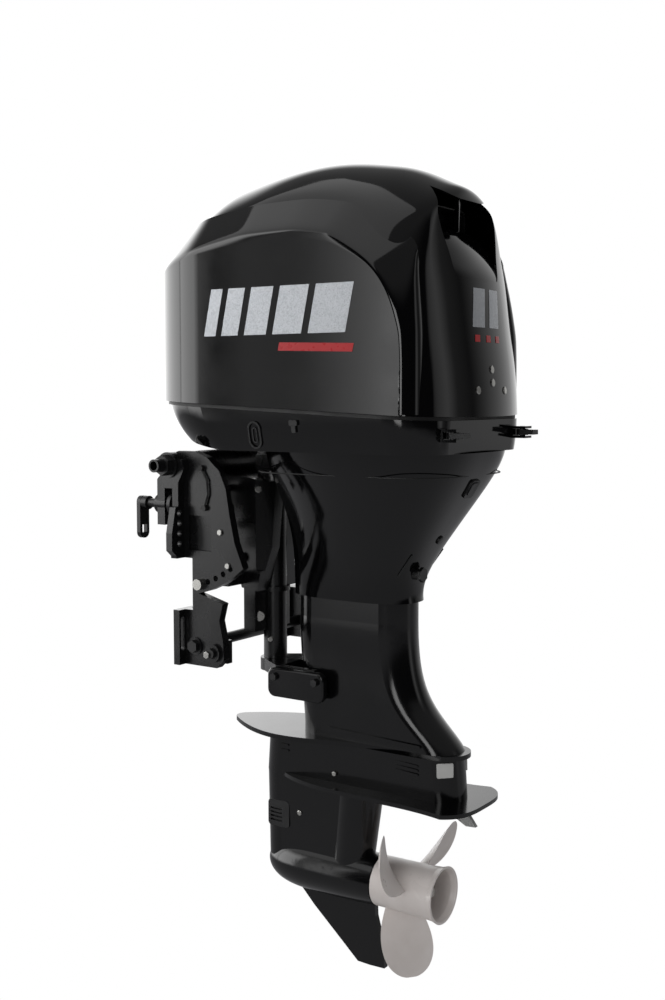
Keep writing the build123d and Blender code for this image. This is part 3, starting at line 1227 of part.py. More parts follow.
def propeller():
    """Three-bladed propeller with a through hub: outer ring, core and ribs."""
    wall = propeller_hub_wall
    outline = [(propeller_front_x, propeller_hub_radius - 1), (propeller_rear_x - 34, propeller_hub_radius),
               (propeller_rear_x - 10, propeller_hub_radius + 1.4), (propeller_rear_x, propeller_ring_radius)]
    inner = [(x, r - wall) for x, r in reversed(outline)]
    ring = revolve(make_face(Polyline(*[(x, 0, prop_axis_z + r) for x, r in outline + inner], close=True)), axis=Axis((0, 0, prop_axis_z), (1, 0, 0)))
    core = pipe((prop_core_front_x, 0, prop_axis_z), (prop_core_rear_x, 0, prop_axis_z), propeller_core_radius, prop_shaft_radius)
    body = ring + core
    for number in range(blade_count):
        turn = Pos(0, 0, prop_axis_z) * Rot(number * 360 / blade_count + blade_clock_angle, 0, 0) * Pos(0, 0, -prop_axis_z)
        rib = block(prop_core_front_x, prop_core_rear_x, -3, 3, prop_axis_z + propeller_core_radius - 1, prop_axis_z + propeller_hub_radius - wall + 1)
        body += turn * rib
        trimmed = blade() - rod((300, 0, prop_axis_z), (460, 0, prop_axis_z), propeller_hub_radius - wall + 0.5)
        body += turn * trimmed
    return body


def propeller_shaft():
    """Propeller shaft with a threaded rear end."""
    body = rod((prop_shaft_front_x, 0, prop_axis_z), (prop_shaft_rear_x - 18, 0, prop_axis_z), prop_shaft_radius)
    return body + rod((prop_shaft_rear_x - 19, 0, prop_axis_z), (prop_shaft_rear_x, 0, prop_axis_z), 8)


def propeller_hardware():
    """Thrust washer ahead of the hub; rear washer, castle nut and split pin behind it."""
    thrust = pipe((torpedo_rear_x - 1 + seat_gap, 0, prop_axis_z), (prop_core_front_x, 0, prop_axis_z), 17, prop_shaft_radius)
    washer = pipe((prop_core_rear_x, 0, prop_axis_z), (prop_core_rear_x + 4, 0, prop_axis_z), 19, prop_shaft_radius)
    low, high = prop_core_rear_x + 4, prop_core_rear_x + 4 + prop_nut_length
    nut = hex_bar((low, 0, prop_axis_z), (high, 0, prop_axis_z), prop_nut_flats)
    for turn in range(3):
        slot = Pos(high, 0, prop_axis_z) * (Rot(turn * 60, 0, 0) * Box(10, 3.4, 60))
        nut -= slot
    nut -= rod((low - 1, 0, prop_axis_z), (prop_shaft_rear_x - 18, 0, prop_axis_z), prop_shaft_radius)
    nut -= rod((low - 1, 0, prop_axis_z), (high + 1, 0, prop_axis_z), 8)
    pin_x = high - 2.4
    pin = rod((pin_x, 0, prop_axis_z + 8.2), (pin_x, 0, prop_axis_z + 17), 1.5) + Pos(pin_x, 0, prop_axis_z + 18) * Sphere(2.6)
    tail = rod((pin_x, 0, prop_axis_z - 8.2), (pin_x, 0, prop_axis_z - 18), 1.5)
    return Compound(children=[thrust, washer, nut, pin, tail])


# ---------------------------------------------------------------- small fittings

def cover_bolts():
    """Pairs of bolts that hold the lower mount covers."""
    outer_y = cover_inner_y + lower_cover_thickness
    pieces = []
    for x in (lower_cover_front_x + 16, lower_cover_front_x + lower_cover_length - 16):
        bolt = rod((x, cover_inner_y - 6, lower_mount_z + 10), (x, outer_y, lower_mount_z + 10), 4)
        bolt += hex_bar((x, outer_y, lower_mount_z + 10), (x, outer_y + 6, lower_mount_z + 10), 12)
        pieces += [bolt, mirrored(bolt)]
    return Compound(children=pieces)


def flush_connector():
    """Hose connector for flushing, at the rear of the funnel's port half."""
    body = rod((394, -20, -176), (409, -20, -176), 9)
    body += hex_bar((409, -20, -176), (415, -20, -176), 22)
    return body


# ---------------------------------------------------------------- put together

os.makedirs("parts", exist_ok=True)

case = exhaust_case()
port_apron, starboard_apron = apron()
flush = flush_connector()
port_apron -= flush
head_cover_shape = head_cover()
tray = bottom_tray() + latch_bracket() + mirrored(latch_bracket())
cover = lower_mount_cover()
bolts = cover_bolts()
for bolt_solid in bolts.solids():
    cover -= bolt_solid
yoke = lower_yoke()
for bolt_solid in bolts.solids():
    yoke -= bolt_solid
screens = intake_covers()
cover_recess = intake_cover_blank()
gear_housing = gearcase() - cover_recess - mirrored(cover_recess) - trim_tab()

nodes = {
    "clamp_bracket_port": mirrored(bracket),
    "clamp_bracket_starboard": bracket,
    "tilt_tube": tilt_tube,
    "tilt_tube_nuts": both_sides(tilt_nut),
    "lower_tie_bolt": Compound(children=[tie_bolt, tie_nut, tie_spacer]),
    "trim_rod": trim_rod,
    "bracket_anodes": both_sides(anode_block),
    "anode_bolts": both_sides(anode_bolt),
    "earth_lead": earth_lead(),
    "clamp_screw_port": mirrored(clamp_screw()),
    "clamp_screw_starboard": clamp_screw(),
    "clamp_pad_port": mirrored(clamp_pad()),
    "clamp_pad_starboard": clamp_pad(),
    "swivel_bracket": swivel_bracket(),
    "swivel_bushes": swivel_bushes(),
    "reverse_lock_hooks": reverse_lock_hooks(),
    "tilt_support_lever": tilt_support_lever(),
    "steering_head": steering_head(),
    "steering_arm": steering_arm(),
    "upper_mounts": upper_mounts(),
    "lower_yoke": yoke,
    "lower_mounts": lower_mounts(),
    "lower_mount_covers": both_sides(cover),
    "cover_bolts": bolts,
    "exhaust_case": case,
    "apron_port": port_apron,
    "apron_starboard": starboard_apron,
    "flush_connector": flush,
    "bottom_tray": tray,
    "tray_seal": tray_seal(),
    "latch_port": mirrored(latch_lever()),
    "latch_starboard": latch_lever(),
    "top_cowl": top_cowl(),
    "intake_duct": intake_duct(),
    "engine_block": engine_block(),
    "cylinder_head": cylinder_head(),
    "head_cover": head_cover_shape,
    "intake_manifold": intake_manifold(),
    "starter_motor": starter_motor(),
    "oil_filter": oil_filter(),
    "electronics_box": electronics_box(),
    "ignition_coils": ignition_coils(),
    "flywheel": flywheel(),
    "drive_shaft": drive_shaft(),
    "pinion": apex * (Rot(0, 0, 180 / pinion_teeth) * pinion_shape),
    "impeller": impeller(),
    "cam_pulley": cam_pulley(),
    "timing_belt": timing_belt(),
    "gearcase": gear_housing,
    "splash_plate": splash_plate(),
    "trim_tab": trim_tab(),
    "intake_covers": both_sides(screens),
    "pump_housing": pump_housing(),
    "bearing_carrier": bearing_carrier(),
    "forward_gear": forward_gear(),
    "reverse_gear": reverse_gear(),
    "clutch_dog": clutch_dog(),
    "propeller": propeller(),
    "propeller_shaft": propeller_shaft(),
    "propeller_hardware": propeller_hardware(),
}

for name, shape in nodes.items():
    shape.label = name
    export_step(shape, f"parts/{name}.step")
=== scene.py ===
import logging
import math
from bisect import bisect_right
from dataclasses import dataclass, field
from enum import Enum
from itertools import accumulate
from typing import Callable, Optional, Sequence

import bmesh
import bpy
from mathutils import Matrix, Vector


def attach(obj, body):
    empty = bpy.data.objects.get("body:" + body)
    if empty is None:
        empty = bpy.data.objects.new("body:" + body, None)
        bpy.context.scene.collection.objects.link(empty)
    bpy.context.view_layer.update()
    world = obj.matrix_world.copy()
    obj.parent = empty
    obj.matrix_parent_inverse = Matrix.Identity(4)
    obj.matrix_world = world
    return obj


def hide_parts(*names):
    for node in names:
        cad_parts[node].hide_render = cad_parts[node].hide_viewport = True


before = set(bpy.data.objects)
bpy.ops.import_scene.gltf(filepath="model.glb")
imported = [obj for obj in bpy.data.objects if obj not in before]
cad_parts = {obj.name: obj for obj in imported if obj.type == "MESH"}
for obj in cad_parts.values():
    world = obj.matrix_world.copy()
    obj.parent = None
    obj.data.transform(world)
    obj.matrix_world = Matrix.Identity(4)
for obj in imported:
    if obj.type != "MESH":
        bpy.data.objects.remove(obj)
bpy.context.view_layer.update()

logging.basicConfig(level=logging.INFO, format="%(message)s")
log = logging.getLogger("outboard")

BMesh = bmesh.types.BMesh
Piece = bpy.types.Object
Socket = bpy.types.NodeSocket
Row = tuple[float, ...]
Table = tuple[Row, ...]
Place = Callable[[float, float], Vector]

MM = 0.001
DISC_SUNK = 2.0      # how far, in mm, a head reaches into what it sits on
BLOCK_SUNK = 1.5     # the same for a plate


# ---- colours and node tools


def linear(hex_colour: str) -> Row:
    """Turn an sRGB hex value into the linear colour that shaders use.

    Args:
        hex_colour: Six hexadecimal digits, with or without a leading #.

    Returns:
        Red, green, blue and an alpha of 1.
    """
    digits = hex_colour.lstrip("#")
    out = []
    for i in (0, 2, 4):
        c = int(digits[i:i + 2], 16) / 255
        out.append(c / 12.92 if c <= 0.04045 else ((c + 0.055) / 1.055) ** 2.4)
    return out[0], out[1], out[2], 1.0


def node(tree: bpy.types.NodeTree, kind: str, settings: Optional[dict] = None,
         **links: object) -> bpy.types.Node:
    """Add one node with its settings, socket values and links.

    Args:
        tree: Node tree that gets the node.
        kind: Blender's name of the node type, without its ShaderNode prefix.
        settings: Properties of the node itself.
        links: Value, socket or node for each input; an underscore stands for a space, s0 … for an index.

    Returns:
        The new node.
    """
    made = tree.nodes.new("ShaderNode" + kind)
    for key, value in (settings or {}).items():
        setattr(made, key, value)
    for key, value in links.items():
        number = key[1:] if key[0] == "s" else ""
        socket = made.inputs[int(number) if number.isdigit() else key.replace("_", " ")]
        if isinstance(value, (Socket, bpy.types.Node)):
            tree.links.new(getattr(value, "outputs", [value])[0], socket)
        else:
            socket.default_value = value
    return made


# ---- finishes


@dataclass(frozen=True)
class Finish:
    """A surface: its colour, gloss, and the small relief that its making leaves.

    Attributes:
        name: Material's name.
        colour: sRGB hex of the surface.
        second: sRGB hex that the mottling turns towards.
        roughness: Mean roughness of the surface.
        variation: How far the roughness wanders.
        metallic: 0 for paint, plastic and rubber, 1 for bare metal.
        ior: Index of refraction of paint or plastic.
        grain_mm: Size of the relief's bumps.
        relief_mm: Height of the relief's bumps.
        patch_mm: Size of the patches of mottling.
        dust: Share of the second colour in the patches.
    """

    name: str
    colour: str
    second: str
    roughness: float
    variation: float = 0.03
    metallic: float = 0.0
    ior: float = 1.5
    grain_mm: float = 3.0
    relief_mm: float = 0.004
    patch_mm: float = 60.0
    dust: float = 0.15

    def material(self) -> bpy.types.Material:
        """Build the material, or return it if it is already built."""
        found = bpy.data.materials.get(self.name)
        if found:
            return found
        made = bpy.data.materials.new(self.name)
        made.use_nodes = True
        tree = made.node_tree
        tree.nodes.clear()
        place = node(tree, "TexCoord").outputs["Object"]
        patches = node(tree, "TexNoise", Vector=place, Scale=1000 / self.patch_mm, Detail=3.0)
        spread = node(tree, "MapRange", Value=patches, From_Min=0.35, From_Max=0.7, To_Min=0.0,
                      To_Max=self.dust)
        colour = node(tree, "Mix", {"data_type": "RGBA"}, s0=spread, s6=linear(self.colour),
                      s7=linear(self.second))
        rough = node(tree, "MapRange", Value=patches, From_Min=0.3, From_Max=0.7,
                     To_Min=max(self.roughness - self.variation, 0.02),
                     To_Max=self.roughness + self.variation)
        grain = node(tree, "TexNoise", Vector=place, Scale=1000 / self.grain_mm, Detail=2.0)
        bump = node(tree, "Bump", Strength=1.0, Distance=self.relief_mm * MM, Height=grain)
        shader = node(tree, "BsdfPrincipled", Base_Color=colour.outputs[2], IOR=self.ior,
                      Roughness=rough, Metallic=self.metallic, Normal=bump)
        node(tree, "OutputMaterial", Surface=shader)
        return made


class Look(Enum):
    """Every finish on the motor."""

    # moulded ABS under glossy black lacquer: deep black, mirror-like
    COWL = Finish("lacquered_abs", "#050506", "#0a0a0b", 0.07, 0.015, ior=1.45, grain_mm=9, relief_mm=0.004,
                  dust=0.3)
    # the same lacquer over the slightly wavy funnel mouldings
    APRON = Finish("lacquered_funnel_moulding", "#060607", "#0b0b0c", 0.10, 0.03, ior=1.45, grain_mm=26,
                   relief_mm=0.11)
    # glossy black enamel over die-cast aluminium: softer, with a fine orange peel
    LEG = Finish("enamelled_casting", "#070708", "#0d0d0e", 0.15, 0.03, ior=1.48, grain_mm=5, relief_mm=0.012)
    # satin black enamel over a rougher bracket casting
    BRACKET = Finish("satin_enamelled_casting", "#0b0b0c", "#151516", 0.26, 0.06, grain_mm=3.5,
                     relief_mm=0.05)
    # steel dipped in black paint
    STEEL = Finish("black_dipped_steel", "#0d0d0e", "#1a1a1a", 0.32, 0.06, grain_mm=4, relief_mm=0.03)
    # unpainted black ABS with a fine moulded texture
    PLASTIC = Finish("textured_abs", "#0b0b0c", "#141414", 0.42, 0.06, grain_mm=1.6, relief_mm=0.04)
    # black nitrile rubber: dull, with a faint bloom
    RUBBER = Finish("nitrile_rubber", "#0e0e0e", "#1c1c1b", 0.6, 0.08, grain_mm=2, relief_mm=0.03)
    # plain turned stainless steel
    STAINLESS = Finish("turned_stainless_steel", "#b9b8b4", "#8d8c88", 0.24, 0.06, metallic=1.0,
                       grain_mm=1.2, relief_mm=0.006, patch_mm=12)
    # cast sacrificial zinc: dull light grey
    ZINC = Finish("cast_zinc", "#a7a8a6", "#7d7e7c", 0.5, 0.08, metallic=0.8, grain_mm=2.5, relief_mm=0.05,
                  patch_mm=14)
    # grey engine enamel over cast aluminium
    ENGINE = Finish("grey_engine_enamel", "#4c4f53", "#3b3d40", 0.38, 0.06, grain_mm=2.5, relief_mm=0.06)
    # machined and oiled steel
    GEAR = Finish("oiled_machined_steel", "#77777a", "#55555a", 0.28, 0.06, metallic=1.0, grain_mm=1.5,
                  relief_mm=0.01)
    # off-white epoxy enamel, with an eggshell sheen
    PROPELLER = Finish("white_epoxy_enamel", "#e9e2de", "#d9d0ca", 0.34, 0.07, grain_mm=6, relief_mm=0.02,
                       patch_mm=45, dust=0.5)
    # aluminium bronze nut, darkened by heat and salt
    BRONZE = Finish("dark_aluminium_bronze", "#5b3c22", "#2e1c0f", 0.36, 0.08, metallic=1.0, grain_mm=2,
                    relief_mm=0.02, patch_mm=9, dust=0.6)
    # decoration film with metal flake, which sparkles finely
    SILVER = Finish("silver_flake_vinyl", "#b9bcc0", "#8f9296", 0.36, 0.10, metallic=0.55, grain_mm=1.1,
                    relief_mm=0.05, patch_mm=2.2, dust=0.8)
    # gloss red vinyl
    RED = Finish("red_vinyl", "#b3141c", "#8c0f16", 0.3, 0.05, grain_mm=3, relief_mm=0.01, patch_mm=12)
    # pale grey moulded plastic of the small plates
    PALE = Finish("pale_moulded_plate", "#c9c9c6", "#b2b2af", 0.45, 0.06, grain_mm=2, relief_mm=0.02,
                  patch_mm=10)
    # rubber-sheathed earth lead
    SHEATH = Finish("rubber_sheath", "#111111", "#1c1c1c", 0.5, 0.05, grain_mm=1.5, relief_mm=0.02)


NODE_LOOKS: dict[Look, tuple[str, ...]] = {
    Look.COWL: ("top_cowl", "bottom_tray"),
    Look.APRON: ("apron_port", "apron_starboard"),
    Look.LEG: ("exhaust_case", "gearcase", "splash_plate", "lower_mount_covers"),
    Look.BRACKET: ("clamp_bracket_port", "clamp_bracket_starboard", "swivel_bracket", "steering_head",
                   "steering_arm", "lower_yoke"),
    Look.STEEL: ("tilt_tube", "lower_tie_bolt", "clamp_screw_port", "clamp_screw_starboard",
                 "clamp_pad_port", "clamp_pad_starboard", "reverse_lock_hooks", "tilt_support_lever",
                 "starter_motor", "oil_filter", "anode_bolts", "bracket_anodes", "cover_bolts"),
    Look.PLASTIC: ("tilt_tube_nuts", "flush_connector", "latch_port", "latch_starboard", "intake_duct",
                   "intake_manifold", "electronics_box", "ignition_coils", "intake_covers", "pump_housing",
                   "swivel_bushes"),
    Look.RUBBER: ("upper_mounts", "lower_mounts", "tray_seal", "impeller", "timing_belt"),
    Look.STAINLESS: ("trim_rod", "propeller_shaft"),
    Look.ZINC: ("trim_tab",),
    Look.ENGINE: ("engine_block", "cylinder_head", "head_cover", "bearing_carrier"),
    Look.GEAR: ("flywheel", "drive_shaft", "pinion", "cam_pulley", "forward_gear", "reverse_gear",
                "clutch_dog"),
    Look.PROPELLER: ("propeller",),
    Look.BRONZE: ("propeller_hardware",),
    Look.SHEATH: ("earth_lead",),
}


def dress_nodes() -> None:
    """Give every carried-over CAD node its finish."""
    for look, names in NODE_LOOKS.items():
        for name in names:
            thing = bpy.data.objects.get(name)
            if thing is None:
                continue
            if not thing.material_slots:
                thing.data.materials.append(look.value.material())
            for slot in thing.material_slots:
                slot.material = look.value.material()
            log.info("dressed %s as %s", name, look.value.name)


def linked(name: str, data: object) -> Piece:
    """Make an object and put it into the scene.

    Args:
        name: Object's name.
        data: Its camera or lamp, or a bmesh, which is used up.

    Returns:
        The new object.
    """
    if isinstance(data, BMesh):
        bm, data = data, bpy.data.meshes.new(name)
        bm.to_mesh(data)
        bm.free()
    thing = bpy.data.objects.new(name, data)
    bpy.context.scene.collection.objects.link(thing)
    return thing


# ---- studio

# the room's brightness by direction in degrees, 0 to port and 90 to the boat:
# dim round the camera, two lit strips at the port bow, and a white sheet behind
ROOM_BANDS = (
    (-180, 0.8), (-150, 0.40), (-134, 0.07), (-122, 0.2), (-115, 0.8), (-108, 0.5), (-104, 0.02),
    (24, 0.015), (29.6, 0.02), (30.2, 4.0), (32.5, 1.6), (35.5, 0.45), (39.2, 0.7), (39.4, 0.02),
    (40.6, 0.02), (40.9, 3.6), (66, 4.4), (67, 0.8), (69, 3.6), (140, 2.2), (155, 1.2), (179, 0.9))


@dataclass
class Studio:
    """Camera, pale floor and soft light.

    Attributes:
        eye: Camera's place in metres.
        heading: Direction of view in degrees, from +Y towards -X.
        dip: How far the view looks down, in degrees.
        lens: Focal length in mm on the sensor.
        sensor: Width of the sensor in mm.
        floor_z: Height of the floor in metres.
        floor_half: Half the floor's side in metres.
        strip: Brightness that the room's bands are a share of.
        strip_top: Rises of a ray between which the bands fade into the ceiling.
        strip_foot: Rises of a ray between which the ground turns into the bands.
        ceiling: Colour overhead, in reflections.
        ground: Colour underfoot, in reflections.
        ambient: Colour for diffuse light.
    """

    eye: Row = (1.4521, -1.8274, 0.123)
    heading: float = 34.0
    dip: float = 4.81
    lens: float = 45.79
    sensor: float = 36.0
    floor_z: float = -1.35
    floor_half: float = 9.0
    strip: float = 4.5
    strip_top: Row = (0.40, 0.66)
    strip_foot: Row = (-0.22, -0.06)
    ceiling: Row = (0.22, 0.22, 0.22, 1)
    ground: Row = (0.33, 0.33, 0.34, 1)
    ambient: Row = (0.32, 0.32, 0.325, 1)

    def camera(self) -> None:
        """Set the camera at the aft port quarter."""
        data = bpy.data.cameras.new("view")
        data.lens = self.lens
        data.sensor_width = self.sensor
        data.clip_end = 60.0
        thing = linked("view", data)
        turn, dip = math.radians(self.heading), math.radians(self.dip)
        ahead = Vector((-math.sin(turn) * math.cos(dip), math.cos(turn) * math.cos(dip), -math.sin(dip)))
        thing.location = self.eye
        thing.rotation_euler = ahead.to_track_quat("-Z", "Y").to_euler()
        bpy.context.scene.camera = thing

    def lamp(self, name: str, place: Row, aim: Row, size: Row, power: float) -> None:
        """Hang one rectangular softbox.

        Args:
            name: Lamp's name.
            place: Lamp's centre in metres.
            aim: Point that it faces.
            size: Width and height in metres.
            power: Watts.
        """
        data = bpy.data.lights.new(name, "AREA")
        data.shape = "RECTANGLE"
        data.size, data.size_y = size
        data.energy = power
        thing = linked(name, data)
        thing.location = place
        thing.rotation_euler = (Vector(aim) - Vector(place)).to_track_quat("-Z", "Y").to_euler()

    def surround(self) -> None:
        """Hang the room: white for the camera, and for reflections lit by bands round the object."""
        world = bpy.data.worlds.new("room")
        world.use_nodes = True
        bpy.context.scene.world = world
        tree = world.node_tree
        tree.nodes.clear()
        place = node(tree, "TexCoord")
        split = node(tree, "SeparateXYZ", Vector=place.outputs["Generated"])
        across, along, rise = split.outputs[0], split.outputs[1], split.outputs[2]

        def sums(kind: str, one: object, other: object) -> Socket:
            """Result of a sum with two values or sockets."""
            return node(tree, "Math", {"operation": kind}, s0=one, s1=other).outputs[0]

        def mixed(share: Socket, low: object, high: object) -> Socket:
            """Colour that turns from one to the other."""
            return node(tree, "Mix", {"data_type": "RGBA"}, s0=share, s6=low, s7=high).outputs[2]

        def fade(start: float, end: float) -> Socket:
            """Share that grows smoothly from 0 to 1 as a ray rises."""
            return node(tree, "MapRange", {"interpolation_type": "SMOOTHSTEP"}, Value=rise,
                        From_Min=start, From_Max=end, To_Min=0.0, To_Max=1.0).outputs[0]

        angle = sums("ARCTAN2", sums("MULTIPLY", across, -1.0), sums("MULTIPLY", along, -1.0))
        turn = node(tree, "MapRange", Value=angle, From_Min=-math.pi, From_Max=math.pi)
        bands = node(tree, "ValToRGB", s0=turn)
        self.fill_bands(bands.color_ramp)
        lit = node(tree, "VectorMath", {"operation": "SCALE"}, s0=bands, Scale=self.strip)
        above = mixed(fade(*self.strip_top), lit, self.ceiling)
        around = mixed(fade(*self.strip_foot), self.ground, above)
        ray = node(tree, "LightPath")
        mirrored = sums("MAXIMUM", ray.outputs["Is Glossy Ray"], ray.outputs["Is Transmission Ray"])
        room = mixed(mirrored, self.ambient, around)
        white = mixed(ray.outputs["Is Camera Ray"], room, (1, 1, 1, 1))
        back = node(tree, "Background", Color=white, Strength=1.0)
        node(tree, "OutputWorld", Surface=back)

    def fill_bands(self, ramp: bpy.types.ColorRamp) -> None:
        """Set the room's brightness by direction.

        Args:
            ramp: Colour ramp over a full turn, from -180 to 180 degrees.
        """
        while len(ramp.elements) > 1:
            ramp.elements.remove(ramp.elements[-1])
        for index, (degrees, level) in enumerate(ROOM_BANDS):
            at = (degrees + 180) / 360
            element = ramp.elements.new(at) if index else ramp.elements[0]
            element.position = at
            element.color = (level / self.strip, level / self.strip, level / self.strip, 1)

    def floor(self) -> None:
        """Lay a pale floor that shows white to the camera, is matt to bounced light and clear to reflections.
        """
        bm = bmesh.new()
        bmesh.ops.create_grid(bm, x_segments=1, y_segments=1, size=self.floor_half)
        bmesh.ops.translate(bm, verts=bm.verts, vec=(0, 0, self.floor_z))
        thing = linked("floor", bm)
        paper = bpy.data.materials.new("pale_floor")
        paper.use_nodes = True
        tree = paper.node_tree
        tree.nodes.clear()
        ray = node(tree, "LightPath")
        bounced = node(tree, "Math", {"operation": "MAXIMUM"}, s0=ray.outputs["Is Glossy Ray"],
                       s1=ray.outputs["Is Transmission Ray"])
        matt = node(tree, "BsdfDiffuse", Color=linear("#dcdcdc"))
        glow = node(tree, "Emission", Color=(1, 1, 1, 1), Strength=1.0)
        clear = node(tree, "BsdfTransparent")
        shown = node(tree, "MixShader", s0=ray.outputs["Is Camera Ray"], s1=matt, s2=glow)
        both = node(tree, "MixShader", s0=bounced, s1=shown, s2=clear)
        node(tree, "OutputMaterial", Surface=both)
        thing.data.materials.append(paper)

    def build(self) -> None:
        """Set up everything round the object."""
        scene = bpy.context.scene
        scene.view_settings.view_transform = "Standard"
        self.camera()
        self.surround()
        self.floor()
        self.lamp("softbox_high", (-0.6, -1.2, 2.6), (0.2, 0, 0), (3.4, 3.4), 30)
        self.lamp("softbox_port", (0.9, -3.0, 0.4), (0.2, 0, -0.4), (0.9, 1.6), 18)
        log.info("studio ready")


# ---- mesh tools


def share_of(value: float) -> float:
    """Hold a value between 0 and 1."""
    return min(max(value, 0.0), 1.0)


def bent(t: float, run: float, start: float, end: float, leave: float, arrive: float) -> float:
    """Value at a share of a cubic step, from its length, its two values and its two slopes."""
    return ((2 * t ** 3 - 3 * t ** 2 + 1) * start + (t ** 3 - 2 * t ** 2 + t) * run * leave
            + (3 * t ** 2 - 2 * t ** 3) * end + (t ** 3 - t ** 2) * run * arrive)


def smooth_curve(points: Sequence[Sequence[float]]) -> Callable[[float], float]:
    """Make a smooth curve through points that doesn't overshoot them.

    Args:
        points: Pairs of x and value, in order of x.

    Returns:
        Function of x, held level outside the points.
    """
    xs, ys = zip(*points)
    grades = [(d - b) / (c - a) for (a, b), (c, d) in zip(points, points[1:])]
    inner = [0.0 if a * b <= 0 else 2 * a * b / (a + b) for a, b in zip(grades, grades[1:])]
    slopes = [grades[0], *inner, grades[-1]]

    def value(x: float) -> float:
        """Value of the curve at x."""
        if x <= xs[0] or x >= xs[-1]:
            return ys[0] if x <= xs[0] else ys[-1]
        i = bisect_right(xs, x) - 1
        h = xs[i + 1] - xs[i]
        return bent((x - xs[i]) / h, h, ys[i], ys[i + 1], slopes[i], slopes[i + 1])

    return value


def last_inside(test: Callable[[float], bool], high: float, rounds: int) -> tuple[float, float]:
    """Close in on the share at which a test stops holding.

    Args:
        test: Whether a share is still inside.
        high: A share that is outside; 0 is inside.
        rounds: How often the span is halved.

    Returns:
        The last share inside and the first one outside.
    """
    low = 0.0
    for _ in range(rounds):
        mid = (low + high) / 2
        low, high = (mid, high) if test(mid) else (low, mid)
    return low, high


def shaped_sheet(columns: int, rows: int, place: Place, bm: Optional[BMesh] = None) -> BMesh:
    """Start from a flat grid and move each of its vertices to its place on a form.

    Args:
        columns: Faces along the first direction.
        rows: Faces along the second direction.
        place: Gives a point in millimetres for two shares from 0 to 1.
        bm: Mesh that gets the sheet, or none for a new one.

    Returns:
        The mesh with the shaped sheet, doubles merged.
    """
    bm = bm or bmesh.new()
    grid = bmesh.ops.create_grid(bm, x_segments=columns, y_segments=rows, size=0.5)["verts"]
    for vert in grid:
        vert.co = place(vert.co.x + 0.5, vert.co.y + 0.5) * MM
    bmesh.ops.remove_doubles(bm, verts=grid, dist=0.00002)
    return bm


def finish_piece(name: str, bm: BMesh, look: Look, body: str, sharp: float = 35.0) -> Piece:
    """Turn a bmesh into a dressed piece that rides on a body.

    Args:
        name: Piece's name.
        bm: Finished bmesh, in metres.
        look: Its finish.
        body: CAD body that it rides on.
        sharp: Angle in degrees past which an edge stays sharp.

    Returns:
        The new object.
    """
    bmesh.ops.recalc_face_normals(bm, faces=bm.faces)
    for face in bm.faces:
        face.smooth = True
    thing = linked(name, bm)
    thing.data.set_sharp_from_angle(angle=math.radians(sharp))
    thing.data.materials.append(look.value.material())
    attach(thing, body)
    log.info("built %s: %d faces", name, len(thing.data.polygons))
    return thing


def aimed(centre: Row, normal: Row, up: Row = (0, 0, 1)) -> Matrix:
    """Frame at a point, whose Z is a normal and whose Y leans to a given direction.

    Args:
        centre: Point in millimetres.
        normal: Direction that the frame's Z takes.
        up: Direction that its Y leans to.

    Returns:
        The frame, in metres.
    """
    out = Vector(normal).normalized()
    side = Vector(up).cross(out).normalized()
    turn = Matrix((side, out.cross(side), out)).transposed().to_4x4()
    return Matrix.Translation(Vector(centre) * MM) @ turn


def add_disc(bm: BMesh, place: Matrix, radius: float, height: float, sides: int = 24,
             chamfer: float = 0.6, slot: float = 0.0) -> None:
    """Add a round or hexagonal head with a chamfered rim, and a slot across it if one is asked for.

    Args:
        bm: Mesh that gets it.
        place: Frame at the middle of its foot.
        radius: Its radius in mm.
        height: How far it stands up in mm.
        sides: Number of its sides.
        chamfer: Width of the chamfer in mm.
        slot: Width of a driver slot in mm, or 0.
    """
    middle = place @ Matrix.Translation((0, 0, (height - DISC_SUNK) / 2 * MM))
    made = bmesh.ops.create_cone(bm, cap_ends=True, segments=sides, radius1=radius * MM, radius2=radius * MM,
                                 depth=(height + DISC_SUNK) * MM, matrix=middle)
    axis = place.to_3x3() @ Vector((0, 0, 1))
    faces = dict.fromkeys(f for v in made["verts"] for f in v.link_faces)
    caps = [f for f in faces if f.normal.dot(axis) > 0.9 and len(f.verts) == sides]
    bmesh.ops.inset_region(bm, faces=caps, thickness=chamfer * MM, depth=0.0)
    rim = list(dict.fromkeys(v for f in caps for v in f.verts))
    bmesh.ops.translate(bm, verts=rim, vec=axis * chamfer * 0.7 * MM)
    if slot:
        top = place @ Matrix.Translation((0, 0, (height + chamfer) * MM))
        add_block(bm, top, radius * 1.5, slot, 0.5, 0.2)


def add_block(bm: BMesh, place: Matrix, width: float, tall: float, height: float, round_by: float = 1.0,
              segments: int = 3) -> None:
    """Add a plate with rounded corners.

    Args:
        bm: Mesh that gets it.
        place: Frame at the middle of its foot.
        width: Size along the frame's X in mm.
        tall: Size along its Y in mm.
        height: How far it stands up in mm.
        round_by: Radius of its corners in mm.
        segments: Faces across each rounded corner.
    """
    spread = Matrix.Diagonal((width * MM, tall * MM, (height + BLOCK_SUNK) * MM, 1.0))
    middle = place @ Matrix.Translation((0, 0, (height - BLOCK_SUNK) / 2 * MM))
    made = bmesh.ops.create_cube(bm, size=1.0, matrix=middle @ spread)
    axis = place.to_3x3() @ Vector((0, 0, 1))
    edges = dict.fromkeys(e for v in made["verts"] for e in v.link_edges)
    upright = [e for e in edges if abs((e.verts[0].co - e.verts[1].co).normalized().dot(axis)) > 0.9]
    bmesh.ops.bevel(bm, geom=upright, offset=round_by * MM, segments=segments, affect="EDGES", profile=0.5,
                    material=-1)


